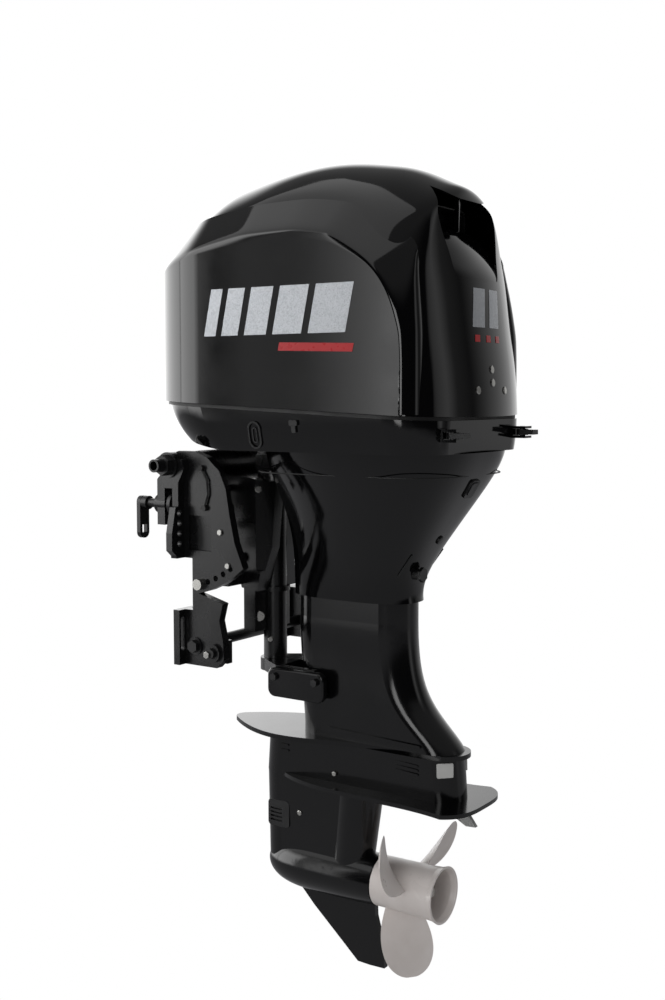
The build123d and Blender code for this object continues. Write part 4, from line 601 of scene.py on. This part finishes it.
def add_ring(bm: BMesh, place: Matrix, width: float, tall: float, height: float, wall: float) -> None:
    """Add a raised oval rim.

    Args:
        bm: Mesh that gets it.
        place: Frame at the middle of its foot.
        width: Outer size along the frame's X in mm.
        tall: Outer size along its Y in mm.
        height: How far it stands up in mm.
        wall: Width of the rim in mm.
    """
    made = bmesh.ops.create_circle(bm, cap_ends=False, segments=36, radius=0.5)
    lap = made["verts"]
    straight = (tall - width) / 2
    for vert in lap:
        rise = 1.0 if vert.co.y > 0 else -1.0
        vert.co = Vector((vert.co.x * width, vert.co.y * width + rise * straight, 0)) * MM
    loop = list(dict.fromkeys(e for v in lap for e in v.link_edges))
    grown = bmesh.ops.extrude_edge_only(bm, edges=loop)
    inner = [item for item in grown["geom"] if isinstance(item, bmesh.types.BMVert)]
    for vert in inner:
        vert.co.x *= 1 - 2 * wall / width
        vert.co.y *= 1 - 2 * wall / tall
    flat = dict.fromkeys(f for v in inner for f in v.link_faces)
    risen = bmesh.ops.extrude_face_region(bm, geom=list(flat))
    tops = [item for item in risen["geom"] if isinstance(item, bmesh.types.BMVert)]
    bmesh.ops.translate(bm, verts=tops, vec=(0, 0, height * MM))
    bmesh.ops.transform(bm, matrix=place, verts=list(dict.fromkeys([*lap, *inner, *tops])))


def harden(thing: Piece, angle: float, tools: Sequence[Piece] = ()) -> None:
    """Apply a piece's modifiers, then mark the edges of its finished walls sharp.

    Args:
        thing: Piece with modifiers.
        angle: Angle in degrees past which an edge stays sharp.
        tools: Cutters to delete afterwards.
    """
    seen = thing.evaluated_get(bpy.context.evaluated_depsgraph_get())
    old, mesh = thing.data, bpy.data.meshes.new_from_object(seen)
    thing.modifiers.clear()
    thing.data = mesh
    bpy.data.meshes.remove(old)
    for tool in tools:
        bpy.data.objects.remove(tool)
    mesh.set_sharp_from_angle(angle=math.radians(angle))


def thicken(thing: Piece, wall: float, angle: float, offset: float = -1.0) -> None:
    """Give an open sheet its wall and harden the wall's edges.

    Args:
        thing: Piece that is a sheet.
        wall: Its wall in mm.
        angle: Angle in degrees past which an edge stays sharp.
        offset: -1 for a wall behind the sheet, 0 for one on both sides.
    """
    thick = thing.modifiers.new("wall", "SOLIDIFY")
    thick.thickness = wall * MM
    thick.offset = offset
    harden(thing, angle)


def draped_patch(bm: BMesh, corners: Table, lay: Place, columns: int, rows: int) -> None:
    """Lay a four-cornered patch on a surface.

    Args:
        bm: Mesh that gets the patch.
        corners: The patch's corners in the surface's own two coordinates, in order.
        lay: Gives the point in millimetres for two coordinates.
        columns: Faces along the first side.
        rows: Faces along the second side.
    """
    a, b, c, d = [Vector(corner) for corner in corners]

    def place(across: float, up: float) -> Vector:
        """Point on the patch."""
        return lay(*a.lerp(b, across).lerp(d.lerp(c, across), up))

    shaped_sheet(columns, rows, place, bm)


@dataclass
class Outline:
    """Rounded rectangle in plan, followed by its length from the middle of the front.

    Attributes:
        front: Front X in mm.
        rear: Rear X in mm.
        half: Half width in mm.
        front_corner: Radius of the front corners.
        rear_corner: Radius of the rear corners.
    """

    front: float
    rear: float
    half: float
    front_corner: float
    rear_corner: float

    @property
    def legs(self) -> Row:
        """Lengths of half the front, the front corner, the side, the rear corner and half the rear."""
        return (self.half - self.front_corner, self.front_corner * math.pi / 2,
                self.rear - self.front - self.front_corner - self.rear_corner,
                self.rear_corner * math.pi / 2, self.half - self.rear_corner)

    @property
    def length(self) -> float:
        """Length of the port half."""
        return sum(self.legs)

    def at_x(self, x: float) -> float:
        """Distance along the port half at which the side reaches an X."""
        legs = self.legs
        return legs[0] + legs[1] + (x - self.front - self.front_corner)

    def point(self, run: float) -> tuple[Vector, Vector]:
        """Point and outward normal at a distance along the port half; negative distances are to starboard."""
        side = 1.0 if run < 0 else -1.0
        run = abs(run)
        ends = list(accumulate(self.legs))

        def corner(x: float, radius: float, out: Vector) -> tuple[Vector, Vector]:
            """Point and normal on a corner that is centred at an X."""
            return Vector((x, self.half - radius)) + out * radius, out

        if run <= ends[0]:
            place, out = Vector((self.front, run)), Vector((-1.0, 0.0))
        elif run <= ends[1]:
            turn = (run - ends[0]) / self.front_corner
            out = Vector((-math.cos(turn), math.sin(turn)))
            place, out = corner(self.front + self.front_corner, self.front_corner, out)
        elif run <= ends[2]:
            out = Vector((0.0, 1.0))
            place = Vector((self.front + self.front_corner + run - ends[1], self.half))
        elif run <= ends[3]:
            turn = (run - ends[2]) / self.rear_corner
            out = Vector((math.sin(turn), math.cos(turn)))
            place, out = corner(self.rear - self.rear_corner, self.rear_corner, out)
        else:
            place, out = Vector((self.rear, self.length - run)), Vector((1.0, 0.0))
        return Vector((place.x, place.y * side)), Vector((out.x, out.y * side))


# ---- top cowl


@dataclass
class TopCowl:
    """Lacquered cowl: canopy with a bowed rear, air intake between two fins, and decorations.

    All sizes are in mm.

    Attributes:
        levels: Rows of height, front X, rear X, half width, front corner and rear corner.
        arches: Rows of X, lean height, shoulder half width, shoulder height and top.
        half: Half width at the cheeks' feet.
        bow: Radius of the bowed rear face.
        blend: How softly the roof turns into the sides.
        wall: Wall thickness.
        grain: Cuts along each edge of the box that the canopy is pushed from.
        cage: That box: half length, half width, middle X, foot and height.
        heart: X range and top Z of the spine that it is pushed away from.
        parting_line: X and height of the lower edge at its front, then at its rear.
        seat: Gap to the tray's seal.
        lip: Height of the hood's lip at its middle, and how much higher its ends are.
        cut: X at which the intake's cut ends, and its depth.
        crease_z: Height at which the intake's creases fade out.
        fin_edge: Rows of height and half width of the opening between the fins.
        panel_foot: Height of the rear panel's foot.
        panel_fall: Height from which the panel falls back, over what height, how far, how steeply.
        panel_lap: How far the panel reaches under the fins and under the rear face.
        sill: Rows of half width and height of the panel's top.
        roll: How far ahead and up the sill's rolled edge goes, row by row.
        film: Height of the decorations over the surface.
    """

    levels: Table = (
        (20, -75, 535, 186, 150, 60), (86, -75, 531, 186, 150, 60), (160, -75, 525, 186, 150, 60),
        (233, -75, 515, 184, 150, 62), (292, -75, 507, 181, 150, 66), (348, -75, 498, 171, 150, 76),
        (400, -75, 491, 157, 150, 84), (440, -75, 486, 142, 138, 90), (470, -75, 480, 118, 118, 90),
        (520, -75, 460, 100, 99, 90))
    arches: Table = (
        (-75, 245, 88, 312, 332), (-15, 285, 116, 374, 415), (80, 346, 138, 421, 484),
        (250, 362, 160, 426, 507), (380, 320, 150, 413, 490), (450, 250, 141, 391, 461),
        (516, 170, 122, 360, 431))
    half: float = 190.0
    bow: float = 376.0
    blend: float = 7.0
    wall: float = 4.0
    grain: int = 20
    cage: Row = (305.0, 188.0, 227.0, 100.0, 380.0)
    heart: Row = (90.0, 380.0, 250.0)
    parting_line: Row = (-75.0, 112.0, 513.0, 86.0)
    seat: float = 0.3
    lip: Row = (426.0, 20.0)
    cut: Row = (404.0, 160.0)
    crease_z: float = 304.0
    fin_edge: Table = (
        (292, 56), (304, 68), (311, 73), (340, 80), (374, 91), (398, 95), (415, 90), (430, 82), (440, 74),
        (450, 66))
    panel_foot: float = 292.0
    panel_fall: Row = (306.0, 75.0, 34.0, 1.7)
    panel_lap: Row = (5.0, 1.2)
    sill: Table = ((0, 381), (40, 380), (62, 374), (80, 364), (100, 344), (112, 330))
    roll: Table = ((0.0, 0.0), (2.0, 2.2), (6.0, 3.6), (14.0, 4.0), (40.0, 2.0))
    film: float = 0.35

    def __post_init__(self) -> None:
        """Prepare the curves that the levels, arches and fins follow."""
        self.by_height, self.by_station = [
            [smooth_curve([(row[0], row[k]) for row in table]) for k in range(1, len(table[0]))]
            for table in (self.levels, self.arches)]
        self.fin = smooth_curve(self.fin_edge)

    def parting(self, x: float) -> float:
        """Height of the cowl's lower edge at an X."""
        front, front_z, rear, rear_z = self.parting_line
        return front_z + (rear_z - front_z) * (x - front) / (rear - front) + self.seat

    def plan_half(self, x: float, z: float) -> float:
        """Half width that the plan outline allows at an X and a height; negative outside it."""
        front, rear, half, nose, tail = [curve(z) for curve in self.by_height]
        if x < front or x > rear:
            return -1.0
        if x < front + nose:
            return half - nose + math.sqrt(max(nose ** 2 - (front + nose - x) ** 2, 0.0))
        centre = rear - self.bow
        corner = centre + math.sqrt((self.bow - tail) ** 2 - (half - tail) ** 2)
        touch = centre + self.bow * (corner - centre) / (self.bow - tail)
        if x >= touch:
            return math.sqrt(max(self.bow ** 2 - (x - centre) ** 2, 0.0))
        if x > corner:
            return half - tail + math.sqrt(max(tail ** 2 - (x - corner) ** 2, 0.0))
        return half

    def arch_half(self, x: float, z: float) -> float:
        """Half width that the section's arch allows at an X and a height; negative above it."""
        lean, shoulder, knee, top = [curve(x) for curve in self.by_station]
        if z <= lean:
            return self.half
        if z >= top:
            return -1.0
        foot = self.half - self.wall
        first, second = math.hypot(foot - shoulder, knee - lean), math.hypot(shoulder, top - knee)
        ratio = second / first
        slopes = [(3 * (ratio * b + c / ratio) - second * m - first * n) / (2 * (first + second))
                  for b, c, m, n in ((shoulder - foot, -shoulder, 0, -1), (knee - lean, top - knee, 1, 0))]
        lower = ((first, foot, shoulder, 0.0, slopes[0]), (first, lean, knee, 1.0, slopes[1]))
        upper = ((second, shoulder, 0.0, slopes[0], -1.0), (second, knee, top, slopes[1], 0.0))

        def spot(t: float) -> list[float]:
            """Point on the arch, from the lean at 0 past the shoulder at 1 to the top at 2."""
            return [bent(t if t < 1 else t - 1, *way) for way in (lower if t < 1 else upper)]

        return max(spot(sum(last_inside(lambda t: spot(t)[1] < z, 2.0, 14)) / 2)[0], 0.0)

    def inside(self, place: Vector) -> bool:
        """Whether a point lies within the canopy's form."""
        plan, arch = self.plan_half(place.x, place.z), self.arch_half(place.x, place.z)
        if plan < 0 or arch < 0:
            return False
        both = 0.5 * (plan + arch - math.sqrt((plan - arch) ** 2 + self.blend ** 2))
        return abs(place.y) < both

    def on_canopy(self, box: Vector) -> Vector:
        """Move a point of a plain box out or in to the canopy's surface."""
        front, rear, top = self.heart
        heart = Vector((min(max(box.x, front), rear), 0.0, min(box.z, top)))
        way = box - heart
        return heart + way * last_inside(lambda t: self.inside(heart + way * t), 1.6, 20)[0]

    def shell(self) -> Piece:
        """Build the canopy as a thin shell over a box that is pushed to its form."""
        bm = bmesh.new()
        bmesh.ops.create_cube(bm, size=2.0)
        bmesh.ops.subdivide_edges(bm, edges=bm.edges[:], cuts=self.grain, use_grid_fill=True)
        floor = [face for face in bm.faces if face.calc_center_median().z < -0.999]
        bmesh.ops.delete(bm, geom=floor, context="FACES")
        long, wide, centre, foot, tall = self.cage
        bunch = 1.15
        for vert in bm.verts:
            spread = [math.sin(share * bunch) / math.sin(bunch) for share in vert.co]
            lift = (vert.co.z + 1) / 2
            box = Vector((centre + long * spread[0], wide * spread[1], foot + tall * lift))
            placed = self.on_canopy(box)
            if lift < 0.001:
                placed.z = self.parting(placed.x)
            vert.co = placed * MM
        thing = finish_piece("cowl_canopy", bm, Look.COWL, "cowl", 28)
        smooth = thing.modifiers.new("smooth", "SUBSURF")
        smooth.levels = smooth.render_levels = 2
        thick = thing.modifiers.new("wall", "SOLIDIFY")
        thick.thickness = self.wall * MM
        thick.offset = -1.0
        return thing

    def rear_x(self, y: float, z: float) -> float:
        """X of the bowed rear face."""
        return self.by_height[1](z) - self.bow + math.sqrt(self.bow ** 2 - y ** 2)

    def intake_cutter(self) -> Piece:
        """Make the block that opens the rear between the fins, from the creases up to the hood's lip."""
        def place(across: float, up: float) -> Vector:
            """Point on the cutter's cross section."""
            share = across * 2 - 1
            z = self.crease_z + (self.lip[0] + self.lip[1] * abs(share) ** 3.5 - self.crease_z) * up
            return Vector((self.cut[0], share * self.fin(z), z))

        bm = shaped_sheet(44, 30, place)
        grown = bmesh.ops.extrude_face_region(bm, geom=bm.faces[:])
        moved = [item for item in grown["geom"] if isinstance(item, bmesh.types.BMVert)]
        bmesh.ops.translate(bm, verts=moved, vec=(self.cut[1] * MM, 0, 0))
        bmesh.ops.recalc_face_normals(bm, faces=bm.faces)
        return linked("intake_cutter", bm)

    def rear_panel(self) -> None:
        """Build the recessed panel between the fins, whose rolled top edge is the intake's sill."""
        sill = smooth_curve(self.sill)
        rows = 26
        flat = rows - len(self.roll) + 1
        lap, under = self.panel_lap
        fall_z, fall_height, fall, power = self.panel_fall
        sill_half = self.fin(350.0)

        def place(across: float, up: float) -> Vector:
            """Point on the panel, which drops back as it rises and then rolls forward."""
            share, row = across * 2 - 1, round(up * rows)
            z = self.panel_foot + (sill(abs(share) * sill_half) - self.panel_foot) * min(row / flat, 1.0)
            y = share * (self.fin(z) + lap)
            back = fall * (max(z - fall_z, 0.0) / fall_height) ** power
            ahead, rise = self.roll[max(row - flat, 0)]
            return Vector((self.rear_x(y, z) - under - back - ahead, y, z + rise))

        bm = shaped_sheet(60, rows, place)
        thing = finish_piece("cowl_rear_panel", bm, Look.COWL, "cowl", 60)
        thicken(thing, 2.5, 60)
        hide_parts("top_cowl")

    def divider(self) -> None:
        """Stand the thin tapered bar in the middle of the intake."""
        bm = bmesh.new()
        bmesh.ops.create_cone(bm, cap_ends=True, segments=16, radius1=1.6 * MM, radius2=3.2 * MM,
                              depth=54 * MM)
        bmesh.ops.scale(bm, verts=bm.verts, vec=(2.4, 1.0, 1.0))
        bmesh.ops.translate(bm, verts=bm.verts, vec=Vector((462, 0, 407)) * MM)
        finish_piece("intake_divider", bm, Look.APRON, "cowl")

    def liner(self) -> None:
        """Build the dark open-ended box behind the intake, in place of the plain duct."""
        def place(across: float, up: float) -> Vector:
            """Point on the box, from its closed end out to its mouth."""
            turn = across * 2 * math.pi
            depth = min(up / 0.8, 1.0)
            reach = min(up / 0.2, 1.0)
            y = max(min(math.cos(turn) * 1.3, 1.0), -1.0) * 70.0 * reach
            z = max(min(math.sin(turn) * 1.3, 1.0), -1.0) * 20.0 * reach
            return Vector((400.0 + 50.0 * (depth - 0.25) * (up > 0.2), y, 402.0 + z))

        bm = shaped_sheet(60, 15, place)
        thing = finish_piece("intake_box", bm, Look.PLASTIC, "cowl", 40)
        thicken(thing, 2.0, 40)
        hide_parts("intake_duct")

    def decorate(self) -> None:
        """Lay generic slanted bars and a red line on each cheek, and bars and red marks on the rear."""
        foot, head, slant = 216.0, 292.0, 16.0
        for side, name in ((-1.0, "port"), (1.0, "starboard")):
            def lay(x: float, z: float, side: float = side) -> Vector:
                """Point just proud of the cheek."""
                return Vector((x, side * (self.half + self.film), z))

            bars, line = bmesh.new(), bmesh.new()
            for x, wide in ((92, 24), (128, 34), (175, 44), (232, 56), (301, 70)):
                corners = (x, foot), (x + wide, foot), (x + wide + slant, head), (x + slant, head)
                draped_patch(bars, corners, lay, 4, 4)
            self.stick("cheek_bars_" + name, bars, Look.SILVER)
            draped_patch(line, ((243, 190), (384, 186), (387, 199), (246, 203)), lay, 6, 2)
            self.stick("cheek_line_" + name, line, Look.RED)

        def lay_rear(y: float, z: float) -> Vector:
            """Point just proud of the rear face."""
            return Vector((self.rear_x(y, z) + self.film, y, z))

        bars, marks = bmesh.new(), bmesh.new()
        for y in (-44, 8):
            draped_patch(bars, ((y, 226), (y + 36, 226), (y + 50, 288), (y + 14, 288)), lay_rear, 8, 8)
        self.stick("rear_bars", bars, Look.SILVER)
        for y in (-42, -8, 26):
            draped_patch(marks, ((y, 203), (y + 14, 203), (y + 16, 214), (y + 2, 214)), lay_rear, 4, 3)
        self.stick("rear_marks", marks, Look.RED)

    def stick(self, name: str, bm: BMesh, look: Look) -> None:
        """Give a decoration its thickness and finish."""
        thicken(finish_piece(name, bm, look, "cowl", 60), 0.3, 32, 0.0)

    def studs(self) -> None:
        """Set the four bright studs low on the rear."""
        bm = bmesh.new()
        for y, z in ((0, 160), (0, 139), (-46, 127), (46, 127)):
            add_disc(bm, aimed((self.rear_x(y, z) - 0.4, y, z), (1, y / self.bow, 0.1)), 6.2, 1.6, 28, 1.0)
        finish_piece("rear_studs", bm, Look.STAINLESS, "cowl", 30)

    def build(self) -> None:
        """Build the whole cowl."""
        thing = self.shell()
        cutter = self.intake_cutter()
        cut = thing.modifiers.new("intake", "BOOLEAN")
        cut.operation = "DIFFERENCE"
        cut.solver = "EXACT"
        cut.object = cutter
        harden(thing, 32, [cutter])
        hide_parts("top_cowl")
        self.rear_panel()
        self.divider()
        self.liner()
        Cheeks(self).build()
        self.decorate()
        self.studs()


@dataclass
class Cheeks:
    """Raised lower wall round the cowl's sides and bow, with its rolled shoulder.

    Sizes are in mm. A run is a distance along the outline from the middle of the bow.

    Attributes:
        cowl: Cowl that it wraps.
        rise: How far it stands out from the outline.
        wall: Wall thickness.
        edge_rows: X and height of the top edge, from the rear foot to the bow's corner.
        bow_rows: Share of the run that is left, and height, on round the bow.
        below: Rows of the sheet below the edge, as shares of its height.
        over: Rows of the sheet past the edge.
        scoop: How steeply the shoulder turns in, and how softly it starts to.
        scoop_start: How far past the edge it does, and how much sooner at the rear and the bow.
        rear_blend: X from which it is sooner at the rear, and the run over which it gets so.
        bow_blend: The same at the bow.
        turn_x: X past which the edge faces aft.
    """

    cowl: TopCowl
    rise: float = 3.0
    wall: float = 2.0
    edge_rows: Table = (
        (468, 90), (468, 157), (466, 205), (458, 239), (442, 278), (414, 314), (371, 341), (328, 358),
        (256, 366), (192, 365), (127, 359), (63, 350), (45, 346))
    bow_rows: Table = ((0.66, 328.0), (0.33, 318.0), (0.0, 315.0))
    below: Row = (-1.0, -0.75, -0.55, -0.4, -0.28, -0.2, -0.13, -0.08, -0.05, -0.03, -0.015, -0.006)
    over: Row = (
        0.0, 1.5, 3.0, 5.0, 7.0, 9.0, 11.0, 13.0, 15.0, 17.0, 19.0, 22.0, 26.0, 30.0, 35.0, 40.0, 46.0,
        52.0, 58.0, 64.0)
    scoop: Row = (0.80, 30.0)
    scoop_start: Row = (13.0, 10.0, 8.0)
    rear_blend: Row = (330.0, 110.0)
    bow_blend: Row = (170.0, 140.0)
    turn_x: float = 400.0

    def __post_init__(self) -> None:
        """Prepare the outline and the curves of the top edge."""
        self.outline = Outline(-78.0, 522.0, self.cowl.half - self.rise, 150.0, 52.0)
        points = [(self.outline.at_x(x), z) for x, z in self.edge_rows]
        last = points[-1][0]
        points += [(last * share, z) for share, z in self.bow_rows]
        steps = [math.dist(a, b) for a, b in zip(points, points[1:])]
        lengths = [0.0] + list(accumulate(steps))
        self.edge_length = lengths[-1]
        self.edge_run = smooth_curve([(s, run) for s, (run, _) in zip(lengths, points)])
        self.edge_z = smooth_curve([(s, z) for s, (_, z) in zip(lengths, points)])

    def edge(self, share: float) -> Row:
        """Run and height of the top edge, for a share from port rear to starboard rear."""
        side = 1.0 if share <= 0.5 else -1.0
        along = min(share, 1 - share) * 2 * self.edge_length
        return side * self.edge_run(along), self.edge_z(along)

    def outward(self, share: float) -> Vector:
        """Direction square to the top edge, away from the cheek, in run and height."""
        ahead, behind = self.edge(min(share + 0.002, 1.0)), self.edge(max(share - 0.002, 0.0))
        tangent = Vector((ahead[0] - behind[0], ahead[1] - behind[1])).normalized()
        out = Vector((tangent.y, -tangent.x))
        if out.y < 0 or abs(out.y) < 1e-6:
            out = -out
        run = self.edge(share)[0]
        if abs(run) > self.outline.at_x(self.turn_x) and out.x * (1.0 if run >= 0 else -1.0) < 0:
            out = -out
        return out

    def inset(self, run: float, past: float) -> float:
        """How far the shoulder has turned in at a distance past the edge."""
        aft = share_of((abs(run) - self.outline.at_x(self.rear_blend[0])) / self.rear_blend[1])
        fore = share_of((self.outline.at_x(self.bow_blend[0]) - abs(run)) / self.bow_blend[1])
        start = self.scoop_start[0] - self.scoop_start[1] * aft - self.scoop_start[2] * fore
        slope, soft = self.scoop
        bends = [slope * 0.5 * (bend + math.sqrt(bend * bend + soft)) for bend in (past - start, -start)]
        return bends[0] - bends[1]

    def build(self) -> None:
        """Build both cheeks and the bow as one belt."""
        levels = self.below + self.over
        rows = len(levels) - 1

        def place(across: float, up: float) -> Vector:
            """Point on the belt, below the edge or over the shoulder."""
            level = levels[round(up * rows)]
            run, z = self.edge(across)
            turned_in = 0.0
            if level < 0:
                foot_z = self.cowl.parting(self.outline.point(run)[0].x)
                spot = Vector((run, z - (foot_z - z) * level))
            else:
                spot = Vector((run, z)) + self.outward(across) * level
                turned_in = self.inset(run, level)
            edge, normal = self.outline.point(spot.x)
            placed = edge + normal * (self.rise - turned_in)
            return Vector((placed.x, placed.y, spot.y))

        belt = shaped_sheet(220, rows, place)
        thing = finish_piece("cowl_cheeks", belt, Look.COWL, "cowl", 40)
        thicken(thing, self.wall, 50)
        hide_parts("top_cowl")


@dataclass
class Trimmings:
    """Small fittings on the castings and mouldings: plugs, rims, ribs, plates and bolt heads.

    All sizes are in mm.

    Attributes:
        tray_y: Half width of the tray at its oval port.
        rib_z: Height of the leg's spray rib.
        leg_y: Half width of the leg at the rib.
        bead: Plan outline of the sealing bead.
        bead_z: Its height.
        bead_size: Half sizes of its section, outwards and in Z.
        bead_sunk: How deep it lies at the front, and the X range over which it comes out.
    """

    tray_y: float = 181.0
    rib_z: float = -456.0
    leg_y: float = 43.6
    bead: Outline = field(default_factory=lambda: Outline(128.4, 501.0, 143.6, 79.0, 81.0))
    bead_z: float = -9.0
    bead_size: Row = (0.9, 1.1)
    bead_sunk: Row = (1.4, 240.0, 300.0)

    def tray(self) -> None:
        """Add the oval access ports and the drain clips to the tray."""
        bm = bmesh.new()
        for side in (-1.0, 1.0):
            port = aimed((190, side * self.tray_y, 55), (0.0, side * 0.98, -0.2))
            add_ring(bm, port, 26, 46, 2.2, 3.0)
            add_ring(bm, port, 10, 26, 1.4, 2.0)
            add_block(bm, aimed((270, side * 184.2, 76), (0, side, -0.12)), 16, 9, 4.0, 2.0)
            add_block(bm, aimed((270, side * 183.4, 66), (0, side, -0.12)), 8, 12, 3.0, 2.0)
        finish_piece("tray_fittings", bm, Look.PLASTIC, "motor", 40)

    def aprons(self) -> None:
        """Add the rear plugs and the slanted slots to the funnel mouldings."""
        bm = bmesh.new()
        aft = (0.85, 0, -0.52)
        add_block(bm, aimed((491, 0, -32), aft), 30, 34, 1.6, 6.0, 5)
        add_block(bm, aimed((492, 0, -31), aft), 22, 24, 3.0, 5.0, 5)
        add_disc(bm, aimed((433, 0, -119), (0.84, 0, -0.54)), 8.0, 2.0)
        for side in (-1.0, 1.0):
            slot = aimed((397, side * 50.6, -158), (0.69, side * 0.51, -0.52), (0.5, 0.0, 0.7))
            add_block(bm, slot, 3.4, 46, 1.4, 1.6)
        finish_piece("apron_plugs", bm, Look.PLASTIC, "motor", 40)

    def seams(self) -> None:
        """Lay the dark sealing bead round the top of the funnel mouldings."""
        wide, tall = self.bead_size
        sunk, low_x, full_x = self.bead_sunk

        def place(across: float, up: float) -> Vector:
            """Point on the bead's round section."""
            edge, out = self.bead.point((across * 2 - 1) * self.bead.length)
            turn = up * 2 * math.pi
            depth = sunk * share_of((full_x - edge.x) / (full_x - low_x))
            spot = edge + out * (math.cos(turn) * wide - depth)
            return Vector((spot.x, spot.y, self.bead_z + math.sin(turn) * tall))

        finish_piece("apron_bead", shaped_sheet(220, 8, place), Look.RUBBER, "motor", 60)

    def leg(self) -> None:
        """Add the spray ribs, louvres, pale plates and screws to the leg and gearcase."""
        ribs, plates, screws = bmesh.new(), bmesh.new(), bmesh.new()
        for side in (-1.0, 1.0):
            spray = aimed((332, side * self.leg_y, self.rib_z), (0, side, 0), (0.03, 0, 1))
            add_block(ribs, spray, 186, 5, 4.0, 2.4)
            for z in (-491.0, -498.5, -506.0):
                louvre = aimed((396, side * 41.6, z), (0, side, -0.05), (0.06, 0, 1))
                add_block(ribs, louvre, 46, 4.0, 2.2, 1.9)
            for y, z in ((41.6, -498), (41.4, -508)):
                add_block(ribs, aimed((144, side * y, z), (0, side, -0.05)), 22, 4.0, 2.0, 1.9)
            plate = aimed((464.2, side * 33.2, -494), (0.72, side * 0.69, 0.03))
            add_block(plates, plate, 28, 24, 1.6, 2.0)
            add_disc(screws, aimed((173, side * 34.4, -619), (0, side, -0.04)), 4.5, 2.2, 20, 0.7, 1.2)
            add_disc(screws, aimed((252, side * 42.0, -533), (0, side, 0)), 4.5, 2.2, 6, 0.7)
        finish_piece("leg_ribs", ribs, Look.LEG, "motor", 40)
        finish_piece("gearcase_plates", plates, Look.PALE, "motor", 40)
        finish_piece("gearcase_screws", screws, Look.STAINLESS, "motor", 30)

    def bracket(self) -> None:
        """Add the bolt heads of the clamp and swivel brackets."""
        clamp, swivel = bmesh.new(), bmesh.new()
        for side in (-1.0, 1.0):
            for x, y, z, radius in ((78.8, 174, -322.2, 6.5), (100, 162, -112, 5.5), (116, 162, -168, 5.5)):
                add_disc(clamp, aimed((x, side * y, z), (0, side, 0)), radius, 3.0, 6, 0.8)
            add_disc(swivel, aimed((98.3, side * 54.2, -45), (0.82, side * 0.57, 0)), 6.5, 3.2, 6, 0.8)
            add_disc(swivel, aimed((100.1, side * 20.4, -317), (0.3, side * 0.96, 0)), 5.0, 3.0, 6, 0.8)
        add_disc(swivel, aimed((91.1, -40.8, -273.2), (0.6, -0.8, 0)), 9.0, 3.0, 28, 1.0, 2.4)
        finish_piece("clamp_bolt_heads", clamp, Look.STAINLESS, "clamp", 30)
        finish_piece("swivel_bolt_heads", swivel, Look.STAINLESS, "swivel", 30)

    def build(self) -> None:
        """Build every fitting."""
        self.tray()
        self.aprons()
        self.seams()
        self.leg()
        self.bracket()


# ---- order of work


def main() -> None:
    """Build the scene piece by piece."""
    Studio().build()
    dress_nodes()
    TopCowl().build()
    Trimmings().build()


if __name__ == "__main__":
    main()
